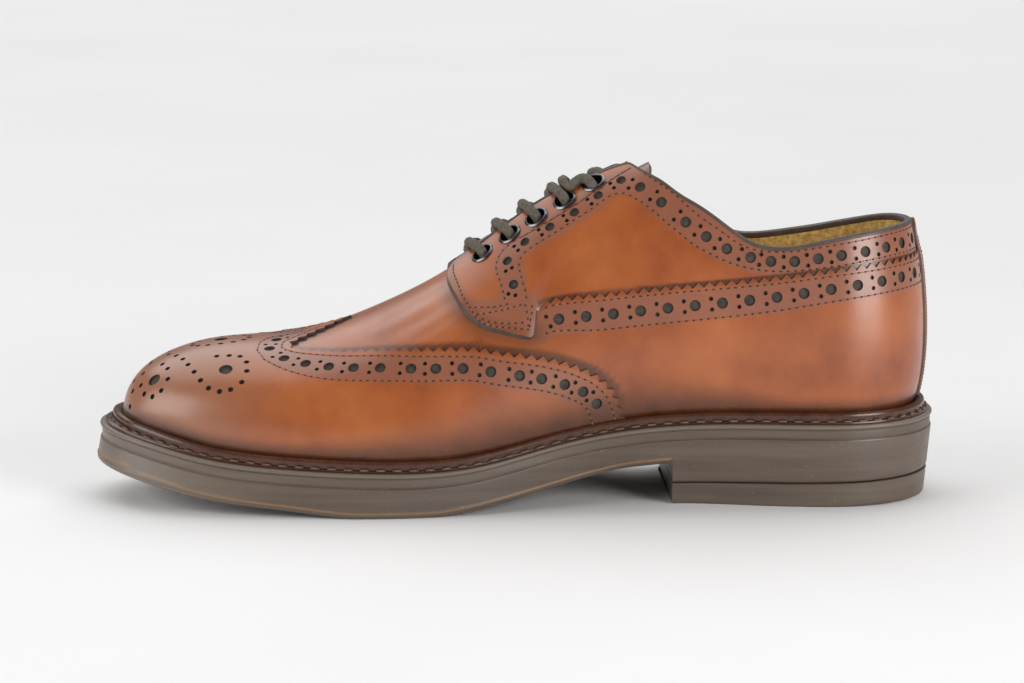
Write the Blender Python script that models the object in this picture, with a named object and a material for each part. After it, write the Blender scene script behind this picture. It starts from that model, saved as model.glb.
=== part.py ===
"""Right derby shoe, built as a shoemaker does: sole, welt, insole, upper, overlays, eyelets, lace.

Metres, +Z up. The toe points to -X, the inner (medial) side of the foot is -Y, the shoe stands on
z = 0 and the origin is under the middle of its box. Tables and sizes below are in millimetres.
A place on the last is (side, run, v): side -1 is medial and +1 lateral, run is the distance from
the toe tip back along the last and round the heel, and v climbs the section from the feather edge
at the sole (0) to the crest (1).
"""
import math

import bmesh
import bpy
import numpy as np
from mathutils import Matrix, Vector

MM = 0.001
MEDIAL, LATERAL = -1.0, 1.0

# Placing of the last in the part's frame
TIP_X = -141.85         # toe tip of the last
AXIS_Y = -7.9           # axis that the heel curve turns about
HEEL_AXIS = 256.0       # distance from the toe tip to that axis
FAN_RADIUS = 33.0       # turns an angle round the heel into a distance run
RUN_END = HEEL_AXIS + FAN_RADIUS * math.pi / 2

# Walls and clearances
GAP = 0.3
SEAM_MERGE = 0.01               # points of the two sides this close are one
UPPER_WALL = 2.2
OVERLAY = (0.55, 1.4)           # inner and outer face of an overlay above the last
QUARTER_OUT = 1.6               # outer face of the quarter front
STRIP = (1.8, 2.8)             # back strip over the galosh
STRIP_ABOVE_GALOSH = (0.5, 1.8)
TONGUE = (-5.2, -3.2)
WELT_CLEAR = 2.1               # welt's inner face from the last
HEM = 1.0                       # overlays stop this far above the seat

# The last: each row is one section, at a distance along from the toe tip
# seat: height of the sole's top; centre: middle of the section beside the heel axis; crest: height
# over the seat; feather: half width at the seat; swell: how far the wall swells past that; swell_up:
# height of the widest place; wall and crown: how upright the side and how flat the top are
LAST_COLUMNS = ("along", "seat", "centre", "crest", "med_feather", "med_swell",
                "lat_feather", "lat_swell", "swell_up", "wall", "crown")
LAST = (
    (0.0, 30.0, 2.5, 0.0, 0.0, 0.0, 0.0, 0.0, 0.0, 0.50, 0.58),
    (4.0, 29.0, 2.6, 12.3, 14.0, 0.8, 14.0, 0.8, 4.0, 0.50, 0.58),
    (16.0, 25.9, 3.0, 24.4, 25.5, 1.6, 25.5, 1.6, 8.0, 0.52, 0.58),
    (36.0, 20.9, 4.0, 34.3, 35.0, 2.2, 35.5, 2.2, 10.0, 0.55, 0.60),
    (64.0, 17.6, 5.8, 40.1, 42.0, 2.6, 43.0, 2.6, 11.0, 0.54, 0.60),
    (95.0, 16.1, 7.0, 52.4, 46.0, 3.0, 47.5, 3.0, 12.0, 0.48, 0.58),
    (125.0, 17.6, 6.2, 67.8, 42.0, 4.0, 47.0, 3.5, 16.0, 0.43, 0.58),
    (155.0, 24.1, 4.5, 83.4, 34.0, 5.0, 42.0, 4.0, 21.0, 0.41, 0.60),
    (185.0, 29.0, 2.8, 94.2, 29.7, 5.0, 36.5, 4.0, 25.0, 0.40, 0.62),
    (215.0, 30.6, 1.4, 108.0, 28.8, 4.6, 33.0, 4.0, 27.0, 0.41, 0.64),
    (256.0, 30.5, 0.0, 116.0, 29.5, 4.0, 30.5, 4.0, 28.0, 0.43, 0.66),
)
EVEN_COLUMNS = ("seat", "centre", "wall", "crown")      # level across the toe tip
HEEL_BACK = {"feather": 30.5, "swell": 2.6}
SWELL_V = 0.25          # v of the widest place
LOW_BEND = 0.35         # how soon the wall turns upright below it

# The sole: ext is how far the lip stands past the feather edge, flare how far the tread stands past
# the lip, bottom the height of the tread, which lies flat where it would pass below the floor
SOLE_COLUMNS = ("along", "med_ext", "lat_ext", "med_flare", "lat_flare", "bottom")
SOLE = (
    (0.0, 9.3, 9.3, 1.3, 1.3, 14.0),
    (16.0, 8.5, 8.5, 1.3, 1.3, 9.4),
    (36.0, 7.8, 7.8, 1.2, 1.2, 5.2),
    (64.0, 7.3, 7.4, 0.9, 0.9, 2.0),
    (95.0, 6.9, 7.2, 0.4, 0.5, -0.7),
    (125.0, 6.3, 6.9, -0.6, -0.2, 1.7),
    (155.0, 5.5, 6.4, -2.6, -1.0, 8.2),
    (185.0, 5.4, 6.1, -6.0, -2.0, 14.4),
    (203.0, 5.6, 6.1, -7.0, -2.6, 16.2),
    (225.0, 6.0, 6.3, -4.4, -2.6, 16.6),
    (256.0, 6.8, 6.6, -2.6, -2.6, 16.6),
)
HEEL_BACK_EXT = 7.8
BREAST = 197.2                  # front face of the heel, along the last
BREAST_STEP = 0.15
BLOCK_FOOT = (8.3, 9.6)         # underside of the heel block, at the breast and at the back
LIP_ROUND = 0.7
LIP_DEEP = 1.8
BAND_IN = 0.7                   # band under the lip, set back from it
BAND_DEEP = 5.4
STEP_OUT = 0.5
BEVEL = 0.3                     # drop of the slanted faces of both steps
EDGE_ROUND = 1.2

# Topline: height of the collar's edge at a distance run
TOPLINE_COLUMNS = ("run", "medial", "lateral")
TOPLINE = (
    (174.0, 126.0, 126.0),
    (181.0, 122.6, 121.5),
    (187.0, 120.2, 117.0),
    (193.0, 116.4, 112.0),
    (200.0, 111.0, 105.0),
    (207.0, 105.4, 98.2),
    (214.0, 100.9, 93.0),
    (222.0, 97.0, 90.0),
    (230.0, 95.4, 89.8),
    (240.0, 95.0, 90.8),
    (256.0, 96.6, 92.8),
    (275.0, 98.9, 96.4),
    (291.0, 99.8, 98.9),
    (308.0, 99.8, 99.8),
)
THROAT_COLUMNS = ("along", "half_gap")
THROAT = ((121.0, 0.0), (123.0, 3.0), (127.0, 5.0), (150.0, 6.5), (190.0, 8.0))

# Edges of the overlays
WING_COLUMNS = ("level", "along")       # level: 0 at the hem, 1 on the crest
WING = ((0.0, 181.0), (0.06, 178.7), (0.13, 174.6), (0.25, 163.5), (0.38, 146.0), (0.45, 134.8),
        (0.54, 117.0), (0.62, 99.8), (0.71, 82.0), (0.82, 64.0), (0.88, 59.0), (0.925, 57.6),
        (0.955, 61.0), (1.0, 81.0))
WING_CLEAR = 0.02               # the galosh starts this much v behind the wing cap
GALOSH_COLUMNS = ("run", "height")
GALOSH = ((152.0, 75.6), (192.0, 80.2), (238.0, 84.6), (262.0, 87.6), (308.0, 89.2))
GALOSH_FRONT = 152.0
GALOSH_EXTRA = (157.5, 166.5, 175.5, 184.0)     # more stations beside the wing cap
GALOSH_FULL = 190.0             # full thickness from here back
TAB_COLUMNS = ("along", "height")
TAB = ((118.8, 79.8), (120.0, 77.0), (122.0, 74.2), (126.0, 70.0), (131.0, 67.0), (137.0, 65.2),
       (147.5, 63.0))
TAB_REAR = 148.5
TAB_LIFT = 2.4                  # how far the tab stands off the vamp at the throat
TAB_LIFT_RUN = 24.0
TAB_ROUND = 9.0                 # rounding of its front corner
QUARTER_FULL = 165.0            # quarter front thins from here to its rear end
QUARTER_REAR = 205.0
STRIP_HALF = 4.6

EYELETS = (130.3, 140.2, 149.8, 160.0, 170.5)       # distance along for each pair
EYELET_SIDE = 11.8                                  # from the centre line
EYELET_RADIUS = (2.9, 4.4)
EYELET_TALL = 0.5
SEAT_CLEAR = 0.2                # more room under a stiff piece on the curved facing
LACE_RADIUS = 1.9

STATIONS = (0, 1, 4, 9, 16, 25, 35, 46, 58, 70, 82, 94, 106, 114, 119, 121, 123, 127, 135, 144, 153,
            162, 171, 180, 188, 195, 202, 210, 218, 227, 238, 247, 256)
FAN_STEPS = 7


def cubic(knots, values, first_slope=None, last_slope=None):
    """Cubic spline through the rows; an end whose slope isn't given is left natural."""
    x = np.asarray(knots, float)
    y = np.asarray(values, float)
    count = len(x)
    step = np.diff(x)
    rise = np.diff(y) / step
    matrix = np.zeros((count, count))
    right = np.zeros(count)
    matrix[0, 0] = 1.0
    matrix[-1, -1] = 1.0
    for i in range(1, count - 1):
        matrix[i, i - 1:i + 2] = step[i - 1], 2 * (step[i - 1] + step[i]), step[i]
        right[i] = 6 * (rise[i] - rise[i - 1])
    if first_slope is not None:
        matrix[0, :2] = 2 * step[0], step[0]
        right[0] = 6 * (rise[0] - first_slope)
    if last_slope is not None:
        matrix[-1, -2:] = step[-1], 2 * step[-1]
        right[-1] = 6 * (last_slope - rise[-1])
    bend = np.linalg.solve(matrix, right)

    def value(at):
        at = np.clip(at, x[0], x[-1])
        k = np.clip(np.searchsorted(x, at) - 1, 0, count - 2)
        before = (x[k + 1] - at) / step[k]
        after = (at - x[k]) / step[k]
        curve = (before ** 3 - before) * bend[k] + (after ** 3 - after) * bend[k + 1]
        return before * y[k] + after * y[k + 1] + curve * step[k] ** 2 / 6

    return value


def table_curves(columns, rows, level=()):
    """One spline per column over the square root of its distance along, which suits a round toe."""
    data = np.array(rows, float)
    roots = np.sqrt(data[:, 0])
    return {name: cubic(roots, data[:, i], 0.0 if name in level else None, 0.0)
            for i, name in enumerate(columns) if i}


def smooth_table(rows, column=1):
    """Spline through one column of a short table, over its first column."""
    data = np.array(rows, float)
    return cubic(data[:, 0], data[:, column])


LAST_CURVES = table_curves(LAST_COLUMNS, LAST, EVEN_COLUMNS)
SOLE_CURVES = table_curves(SOLE_COLUMNS, SOLE, SOLE_COLUMNS[1:])
TOPLINE_CURVES = {MEDIAL: smooth_table(TOPLINE, 1), LATERAL: smooth_table(TOPLINE, 2)}
THROAT_CURVE = smooth_table(THROAT)
WING_CURVE = smooth_table(WING)
GALOSH_CURVE = smooth_table(GALOSH)
TAB_CURVE = smooth_table(TAB)


def ellipse(beside, behind, turn):
    """Radius at an angle round the heel, from the radius beside the axis and the one behind it."""
    return 1.0 / np.sqrt((np.cos(turn) / np.maximum(beside, 1e-9)) ** 2 + (np.sin(turn) / behind) ** 2)


def split_run(run):
    """Distance along the last, and angle round the heel, at a distance run."""
    run = np.asarray(run, float)
    return np.clip(run, 0.0, HEEL_AXIS), np.maximum(run - HEEL_AXIS, 0.0) / FAN_RADIUS


def last_point(side, run, v):
    """Points of the last's surface, in millimetres, in the part's frame."""
    along, turn = split_run(run)
    root = np.sqrt(along)
    size = {name: curve(root) for name, curve in LAST_CURVES.items()}
    inner = np.asarray(side) < 0
    beside = np.where(inner, size["med_feather"], size["lat_feather"])
    swollen = beside + np.where(inner, size["med_swell"], size["lat_swell"])
    feather = np.where(turn > 0, ellipse(beside, HEEL_BACK["feather"], turn), beside)
    behind = HEEL_BACK["feather"] + HEEL_BACK["swell"]
    widest = np.where(turn > 0, ellipse(swollen, behind, turn), swollen)
    foot = size["seat"] + GAP
    waist = foot + size["swell_up"]
    top = np.maximum(size["seat"] + size["crest"], waist)
    low = np.clip(v / SWELL_V, 0.0, 1.0)
    high = np.clip((v - SWELL_V) / (1.0 - SWELL_V), 0.0, 1.0)
    low_r = (1 - low) ** 2 * feather + (1 - (1 - low) ** 2) * widest
    low_z = 2 * (1 - low) * low * LOW_BEND * size["swell_up"] + low ** 2 * size["swell_up"] + foot
    a, b, c = (1 - high) ** 3, 3 * (1 - high) ** 2 * high, 3 * (1 - high) * high ** 2
    high_r = (a + b) * widest + c * size["crown"] * widest
    high_z = a * waist + b * (waist + size["wall"] * (top - waist)) + (1 - a - b) * top
    radius = np.where(v < SWELL_V, low_r, high_r)
    x = TIP_X + along + radius * np.sin(turn)
    y = AXIS_Y + size["centre"] + side * radius * np.cos(turn)
    return np.stack([x, y, np.where(v < SWELL_V, low_z, high_z)], -1)


def last_normal(side, run, v):
    """Outward unit normals of the last's surface."""
    side = np.asarray(side, float)
    run = np.maximum(np.asarray(run, float), 0.02)
    step_run, step_v = 0.01, 0.002
    by_run = last_point(side, run + step_run, v) - last_point(side, run - step_run, v)
    upper_v = np.minimum(np.asarray(v, float) + step_v, 1.0)
    lower_v = np.maximum(np.asarray(v, float) - step_v, 0.0)
    by_v = last_point(side, run, upper_v) - last_point(side, run, lower_v)
    normal = -np.cross(by_run, by_v) * np.expand_dims(side, -1)
    normal = normal / np.maximum(np.linalg.norm(normal, axis=-1, keepdims=True), 1e-12)
    at_tip = np.expand_dims(np.asarray(run) <= 0.02, -1)
    return np.where(at_tip, np.array([-1.0, 0.0, 0.0]), normal)


def on_last(side, run, v, out):
    """Points a distance out from the last's surface."""
    return last_point(side, run, v) + last_normal(side, run, v) * np.expand_dims(out, -1)


SAMPLES = np.linspace(0.0, 1.0, 241)


def half_section(side, run):
    return last_point(side, np.full_like(SAMPLES, run), SAMPLES)


def v_at_height(side, run, height):
    """v where the section reaches a height."""
    return float(np.interp(height, half_section(side, run)[:, 2], SAMPLES))


def v_beside_centre(side, along, distance):
    """v on the upper part of the section at a distance from the centre line."""
    points = half_section(side, along)
    middle = points[-1, 1]
    upper = SAMPLES >= SWELL_V
    return float(np.interp(-distance, -np.abs(points[upper, 1] - middle), SAMPLES[upper]))


def hem_v(side, run):
    return v_at_height(side, run, float(last_point(side, run, 0.0)[2]) + HEM)


def spread(side, run, v_low, v_high, count):
    """v values that divide a stretch of the section into equal lengths."""
    v = np.linspace(v_low, v_high, 81)
    points = last_point(side, np.full_like(v, run), v)
    length = np.concatenate([[0.0], np.cumsum(np.linalg.norm(np.diff(points, axis=0), axis=1))])
    return np.interp(np.linspace(0.0, length[-1], count + 1), length, v)


def upper_edge_v(side, run):
    """v of the upper's free edge: closed over the vamp, then the throat, then the topline."""
    if run <= THROAT[0][0]:
        return 1.0
    edge = v_beside_centre(side, min(run, HEEL_AXIS), float(THROAT_CURVE(run)))
    if run >= TOPLINE[0][0]:
        edge = min(edge, v_at_height(side, run, float(TOPLINE_CURVES[side](run))))
    return edge


def stations(first=0.0, last=RUN_END, extra=()):
    """Distances run at which the pieces are divided, from toe to heel."""
    fan = [HEEL_AXIS + (RUN_END - HEEL_AXIS) * i / FAN_STEPS for i in range(1, FAN_STEPS + 1)]
    inside = [run for run in (*STATIONS, *fan) if first < run < last]
    return sorted({float(first), float(last), *map(float, inside), *map(float, extra)})


def round_the_shoe(runs):
    """Medial side from the front to the heel, then the lateral side back to the front."""
    return [(MEDIAL, run) for run in runs] + [(LATERAL, run) for run in reversed(runs[:-1])]


def principled(name, colour, roughness, metallic=0.0):
    material = bpy.data.materials.new(name)
    material.use_nodes = True
    shader = material.node_tree.nodes["Principled BSDF"]
    shader.inputs["Base Color"].default_value = (*colour, 1.0)
    shader.inputs["Roughness"].default_value = roughness
    shader.inputs["Metallic"].default_value = metallic
    return material


def finish(name, bm, material):
    """Merge, close and face the mesh outwards, and make it an object."""
    bmesh.ops.dissolve_degenerate(bm, dist=SEAM_MERGE * MM, edges=bm.edges)
    bmesh.ops.recalc_face_normals(bm, faces=bm.faces)
    mesh = bpy.data.meshes.new(name)
    bm.to_mesh(mesh)
    bm.free()
    mesh.materials.append(material)
    mesh.shade_smooth()
    mesh.set_sharp_from_angle(angle=math.radians(40))
    piece = bpy.data.objects.new(name, mesh)
    bpy.context.scene.collection.objects.link(piece)
    return piece


def mapped_grid(columns):
    """A grid whose vertex (i, j) stands for columns[i][j]; yields the bmesh and those places."""
    across, up = len(columns) - 1, len(columns[0]) - 1
    bm = bmesh.new()
    bmesh.ops.create_grid(bm, x_segments=across, y_segments=up, size=1.0)
    places = [(round((vert.co.x + 1) / 2 * across), round((vert.co.y + 1) / 2 * up)) for vert in bm.verts]
    return bm, places


def loft(name, columns, material, cap_ends=False):
    """A solid from columns of points that close on themselves or on their neighbours."""
    bm, places = mapped_grid(columns)
    for vert, (i, j) in zip(bm.verts, places):
        vert.co = Vector(columns[i][j]) * MM
    bmesh.ops.remove_doubles(bm, verts=bm.verts, dist=SEAM_MERGE * MM)
    if cap_ends:
        bmesh.ops.holes_fill(bm, edges=[edge for edge in bm.edges if edge.is_boundary])
    return finish(name, bm, material)


def shell(name, columns, inner, outer, material):
    """A wall over part of the last; inner and outer give its faces' distances from the last."""
    bm, places = mapped_grid(columns)
    layers = [bm.verts.layers.float.new(key) for key in ("side", "run", "v")]
    for vert, (i, j) in zip(bm.verts, places):
        for layer, value in zip(layers, columns[i][j]):
            vert[layer] = value

    def place(verts, distance):
        side, run, v = (np.array([vert[layer] for vert in verts]) for layer in layers)
        out = np.array([distance(*key) for key in zip(side, run, v)])
        for vert, point in zip(verts, on_last(side, run, v, out)):
            vert.co = Vector(point) * MM

    place(bm.verts[:], outer)
    bmesh.ops.remove_doubles(bm, verts=bm.verts, dist=SEAM_MERGE * MM)
    made = bmesh.ops.extrude_face_region(bm, geom=bm.faces[:])["geom"]
    place([item for item in made if isinstance(item, bmesh.types.BMVert)], inner)
    return finish(name, bm, material)


def level(distance):
    return lambda side, run, v: distance


def plan(side, run):
    """Feather edge in plan at a distance run, and the direction straight out from it."""
    here = last_point(side, run, 0.0)
    if run <= 0.02:
        return here, np.array([-1.0, 0.0])
    ahead = last_point(side, run + 0.01, 0.0) - last_point(side, run - 0.01, 0.0)
    out = -side * np.array([ahead[1], -ahead[0]])
    return here, out / np.linalg.norm(out)


def beyond(side, run, out, height):
    """Point a distance out from the feather edge in plan, at a height."""
    here, direction = plan(side, run)
    return np.array([here[0] + direction[0] * out, here[1] + direction[1] * out, height])


def middle(run, height):
    """Point of the centre line that a station looks out from."""
    along, _ = split_run(run)
    return np.array([TIP_X + along, AXIS_Y + LAST_CURVES["centre"](np.sqrt(along)), height])


def sole_sizes(side, run):
    """Lip height, lip reach, flare and tread height at a station."""
    along, turn = split_run(run)
    root = np.sqrt(along)
    reach = SOLE_CURVES["med_ext" if side < 0 else "lat_ext"](root)
    reach = reach + (HEEL_BACK_EXT - reach) * np.sin(turn) ** 2
    lip = LAST_CURVES["seat"](root)
    flare = SOLE_CURVES["med_flare" if side < 0 else "lat_flare"](root)
    return float(lip), float(reach), float(flare), float(SOLE_CURVES["bottom"](root))


def block_foot(x):
    """Height of the heel block's underside, which tilts a little."""
    front, back = TIP_X + BREAST, TIP_X + HEEL_AXIS + HEEL_BACK["feather"]
    return BLOCK_FOOT[0] + (BLOCK_FOOT[1] - BLOCK_FOOT[0]) * (x - front) / (back - front)


def wall_reach(side, run, height):
    """How far the wall under the band stands out from the feather edge at a height."""
    lip, reach, flare, bottom = sole_sizes(side, run)
    foot = max(bottom, 0.0) if run <= BREAST else 0.0
    down = (lip - BAND_DEEP - height) / (lip - BAND_DEEP - foot)
    return reach - BAND_IN + STEP_OUT + (flare + BAND_IN - STEP_OUT) * down


def make_sole(rubber):
    columns = []
    for side, run in round_the_shoe(stations(extra=(BREAST, BREAST + BREAST_STEP))):
        lip, reach, flare, bottom = sole_sizes(side, run)
        tread = max(bottom, 0.0)
        if run > BREAST:
            tread = block_foot(beyond(side, run, reach, 0.0)[0])
        foot_reach = wall_reach(side, run, tread)
        profile = (
            (reach - LIP_ROUND, lip), (reach, lip - LIP_ROUND), (reach, lip - LIP_DEEP),
            (reach - BAND_IN, lip - LIP_DEEP - BEVEL), (reach - BAND_IN, lip - BAND_DEEP),
            (reach - BAND_IN + STEP_OUT, lip - BAND_DEEP - BEVEL),
            (foot_reach, tread + EDGE_ROUND), (foot_reach - EDGE_ROUND, tread))
        inner_foot = middle(run, tread)
        if run > BREAST:
            inner_foot[2] = block_foot(inner_foot[0])
        points = [middle(run, lip)]
        points += [beyond(side, run, out, height) for out, height in profile]
        columns.append(points + [inner_foot])
    return loft("sole", columns, rubber)


def make_heel_top_lift(rubber):
    columns = []
    for side, run in round_the_shoe(stations(first=BREAST + BREAST_STEP)):
        rim = beyond(side, run, 0.0, 0.0)
        top = block_foot(rim[0]) - GAP
        columns.append([
            middle(run, block_foot(middle(run, 0.0)[0]) - GAP),
            beyond(side, run, wall_reach(side, run, top), top),
            beyond(side, run, wall_reach(side, run, 1.0), 1.0),
            beyond(side, run, wall_reach(side, run, 0.0) - 1.0, 0.0),
            middle(run, 0.0)])
    return loft("heel_top_lift", columns, rubber, cap_ends=True)


def lean(side, run, height):
    """How far the last's wall stands past the feather edge, in plan, a height above the seat."""
    section = half_section(side, run)
    climb = section[:, 2] - section[0, 2]
    point = np.array([np.interp(height, climb, section[:, k]) for k in (0, 1)])
    here, direction = plan(side, run)
    return float(np.dot(point - here[:2], direction))


WELT_BEAD_TALL = 4.6
WELT_FLAT_TALL = 1.2
WELT_SHARES = (0.36, 0.70)      # outer face of the bead and of the flat, as shares of the lip's reach


def make_welt(leather):
    columns = []
    for side, run in round_the_shoe(stations()):
        lip, reach, _, _ = sole_sizes(side, run)
        inside = [max(lean(side, run, tall), 0.0) + WELT_CLEAR for tall in (0.0, 2.2, WELT_BEAD_TALL)]
        inside[0] = max(inside[0], 2 * inside[1] - inside[2])
        width = reach - inside[0]
        bead = inside[2] + WELT_SHARES[0] * width
        flat = inside[0] + WELT_SHARES[1] * width
        profile = (
            (inside[0], GAP), (flat, GAP), (flat, WELT_FLAT_TALL), (bead, WELT_FLAT_TALL),
            (bead, 0.7 * WELT_BEAD_TALL), (0.5 * (bead + inside[2]), WELT_BEAD_TALL),
            (inside[2], 0.85 * WELT_BEAD_TALL), (inside[0], GAP))
        columns.append([beyond(side, run, out, lip + tall) for out, tall in profile])
    return loft("welt", columns, leather)


INSOLE_IN = 3.4
INSOLE_TALL = 4.0
INSOLE_SPINE = 9.0              # its centre line starts this far behind the toe tip


def make_insole(board):
    columns = []
    for side, run in round_the_shoe(stations()):
        lip = sole_sizes(side, run)[0]
        tight = INSOLE_IN + max(-lean(side, run, INSOLE_TALL), 0.0)
        spine = max(run, INSOLE_SPINE)
        under = sole_sizes(side, spine)[0]
        columns.append([
            middle(spine, under + INSOLE_TALL),
            beyond(side, run, -tight, lip + INSOLE_TALL),
            beyond(side, run, -tight, lip + GAP),
            middle(spine, under + GAP)])
    return loft("insole", columns, board)


UPPER_ROWS = 9


def make_upper(leather):
    columns = []
    for side, run in round_the_shoe(stations()):
        top = upper_edge_v(side, run)
        columns.append([(side, run, v) for v in spread(side, run, 0.0, top, UPPER_ROWS)])
    return shell("upper", columns, level(-UPPER_WALL), level(0.0), leather)


TONGUE_RUN = (110.0, 187.0)
TONGUE_HALF = 23.0
TONGUE_SINK = 1.6               # how much further in its top lies


def make_tongue(leather):
    first, last = TONGUE_RUN
    columns = []
    for i in range(10):
        along = first + (last - first) * i / 9
        rounding = math.sqrt(max(1.0 - max(along - last + 12.0, 0.0) ** 2 / 12.0 ** 2 * 0.6, 0.0))
        rows = []
        for side in (MEDIAL, LATERAL):
            low = v_beside_centre(side, along, TONGUE_HALF * rounding)
            values = spread(side, along, low, 1.0, 5)
            rows.append([(side, along, v) for v in values])
        columns.append(rows[0] + rows[1][-2::-1])

    def face(depth):
        return lambda side, run, v: depth - TONGUE_SINK * max(run - first, 0.0) / (last - first)

    return shell("tongue", columns, face(TONGUE[0]), face(TONGUE[1]), leather)


def wing_place(side, step, share):
    """Place on the wing cap: share of the way from the toe tip to its edge, at a level."""
    run = share ** 2 * float(WING_CURVE(step))
    low = hem_v(side, max(run, 0.6))
    return side, run, low + (1.0 - low) * step


def make_wing_cap(leather):
    levels = (0.0, 0.06, 0.13, 0.21, 0.3, 0.4, 0.5, 0.59, 0.68, 0.76, 0.84, 0.92, 1.0)
    steps = 17
    columns = []
    for i in range(2 * steps + 1):
        side = MEDIAL if i < steps else LATERAL
        columns.append([wing_place(side, step, abs(i - steps) / steps) for step in levels])
    return shell("wing_cap", columns, level(OVERLAY[0]), level(OVERLAY[1]), leather)


def wing_edge_v(side, run):
    """v of the wing cap's edge on the flank, or of the hem behind its end."""
    levels = np.linspace(0.0, 0.8, 161)
    low = hem_v(side, run)
    if run >= WING[0][1]:
        return low
    step = float(np.interp(-run, -WING_CURVE(levels), levels))
    return low + (1.0 - low) * step + WING_CLEAR


def make_galosh(leather):
    columns = []
    for side, run in round_the_shoe(stations(first=GALOSH_FRONT, extra=GALOSH_EXTRA)):
        low = wing_edge_v(side, run)
        high = v_at_height(side, run, float(GALOSH_CURVE(run)))
        columns.append([(side, run, v) for v in spread(side, run, low, high, 6)])

    def outer(side, run, v):
        full = min((run - GALOSH_FRONT) / (GALOSH_FULL - GALOSH_FRONT), 1.0)
        return OVERLAY[0] + 0.15 + (OVERLAY[1] - OVERLAY[0] - 0.15) * full

    return shell("galosh", columns, level(OVERLAY[0]), outer, leather)


def quarter_low_v(side, run):
    """v of the quarter front's lower edge: the tab, then just above the galosh."""
    height = float(TAB_CURVE(run))
    if run > TAB_REAR:
        height = float(GALOSH_CURVE(max(run, GALOSH_FRONT))) + 1.2
    return v_at_height(side, run, height)


def tab_lift(run, v):
    """Extra stand-off of the quarter front near the throat's front end."""
    back = max(1.0 - (run - TAB[0][0]) / TAB_LIFT_RUN, 0.0)
    high = min(max((v - 0.6) / 0.4, 0.0), 1.0)
    return TAB_LIFT * back * high


def make_quarter_front(side, leather):
    columns = []
    runs = stations(first=TAB[0][0], last=QUARTER_REAR, extra=(TAB_REAR, TAB_REAR + 0.6))
    for run in runs:
        low = quarter_low_v(side, run)
        high = upper_edge_v(side, run)
        if run < THROAT[2][0]:
            opening = (run - TAB[0][0]) / (THROAT[2][0] - TAB[0][0])
            high = v_beside_centre(side, run, THROAT[2][1] + TAB_ROUND * (1.0 - math.sqrt(opening)))
        columns.append([(side, run, v) for v in spread(side, run, low, max(high, low + 0.02), 5)])

    def outer(side, run, v):
        thin = max(run - QUARTER_FULL, 0.0) / (QUARTER_REAR - QUARTER_FULL)
        return QUARTER_OUT - (OVERLAY[1] - OVERLAY[0]) * min(thin, 1.0) + tab_lift(run, v)

    name = "quarter_front_medial" if side < 0 else "quarter_front_lateral"
    return shell(name, columns, level(OVERLAY[0]), outer, leather)


def make_back_strip(leather):
    edge = float(GALOSH_CURVE(RUN_END))
    top = float(TOPLINE_CURVES[MEDIAL](RUN_END))
    heights = [*np.linspace(36.0, edge - 1.0, 6), edge + 0.6, edge + 1.2, *np.linspace(edge + 5.0, top, 3)]
    offsets = np.linspace(-STRIP_HALF, STRIP_HALF, 5)
    columns = []
    for offset in offsets:
        side = MEDIAL if offset < 0 else LATERAL
        run = RUN_END - abs(offset)
        columns.append([(side, run, v_at_height(side, run, height)) for height in heights])
    change = v_at_height(MEDIAL, RUN_END, edge + 0.9)

    def face(low, high):
        return lambda side, run, v: high if v > change else low

    return shell("back_strip", columns, face(STRIP[0], STRIP_ABOVE_GALOSH[0]),
                 face(STRIP[1], STRIP_ABOVE_GALOSH[1]), leather)


def eyelet_foot(along, v):
    """Distance of an eyelet's underside from the last."""
    return QUARTER_OUT + tab_lift(along, v) + GAP + SEAT_CLEAR


def make_eyelet(side, number, metal):
    """A rolled ring lying on the quarter front."""
    along = EYELETS[number]
    v = v_beside_centre(side, along, EYELET_SIDE)
    normal = Vector(last_normal(side, along, v))
    foot = Vector(on_last(side, along, v, eyelet_foot(along, v)))
    inner, outer = EYELET_RADIUS
    profile = ((inner, 0.0), (outer, 0.0), (outer - 0.5, EYELET_TALL), (inner + 0.3, EYELET_TALL),
               (inner, 0.0))
    turn = normal.to_track_quat("Z", "Y").to_matrix().to_4x4()
    place = Matrix.Translation(foot) @ turn
    sides = 10
    columns = []
    for i in range(sides + 1):
        angle = 2 * math.pi * i / sides
        columns.append([place @ Vector((r * math.cos(angle), r * math.sin(angle), z)) for r, z in profile])
    name = f"eyelet_{'medial' if side < 0 else 'lateral'}_{number + 1}"
    return loft(name, columns, metal)


def make_lace_bar(number, cord):
    """A straight bar of lace over the throat, from eyelet to eyelet."""
    along = EYELETS[number]
    over = eyelet_foot(along, 1.0) + EYELET_TALL + GAP + SEAT_CLEAR + LACE_RADIUS
    gap = float(THROAT_CURVE(along))
    reach = [(MEDIAL, EYELET_SIDE), (MEDIAL, 0.5 * (gap + EYELET_SIDE)), (MEDIAL, gap)]
    reach += [(LATERAL, distance) for _, distance in reversed(reach)]
    keys = [(side, v_beside_centre(side, along, distance)) for side, distance in reach]
    curve = bpy.data.curves.new(f"lace_bar_{number + 1}", "CURVE")
    curve.dimensions = "3D"
    curve.bevel_depth = LACE_RADIUS * MM
    curve.bevel_resolution = 2
    curve.use_fill_caps = True
    spline = curve.splines.new("POLY")
    spline.points.add(len(keys) - 1)
    for point, (side, v) in zip(spline.points, keys):
        point.co = (*(on_last(side, along, v, over) * MM), 1.0)
    curve.materials.append(cord)
    bar = bpy.data.objects.new(f"lace_bar_{number + 1}", curve)
    bpy.context.scene.collection.objects.link(bar)
    return bar


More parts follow.
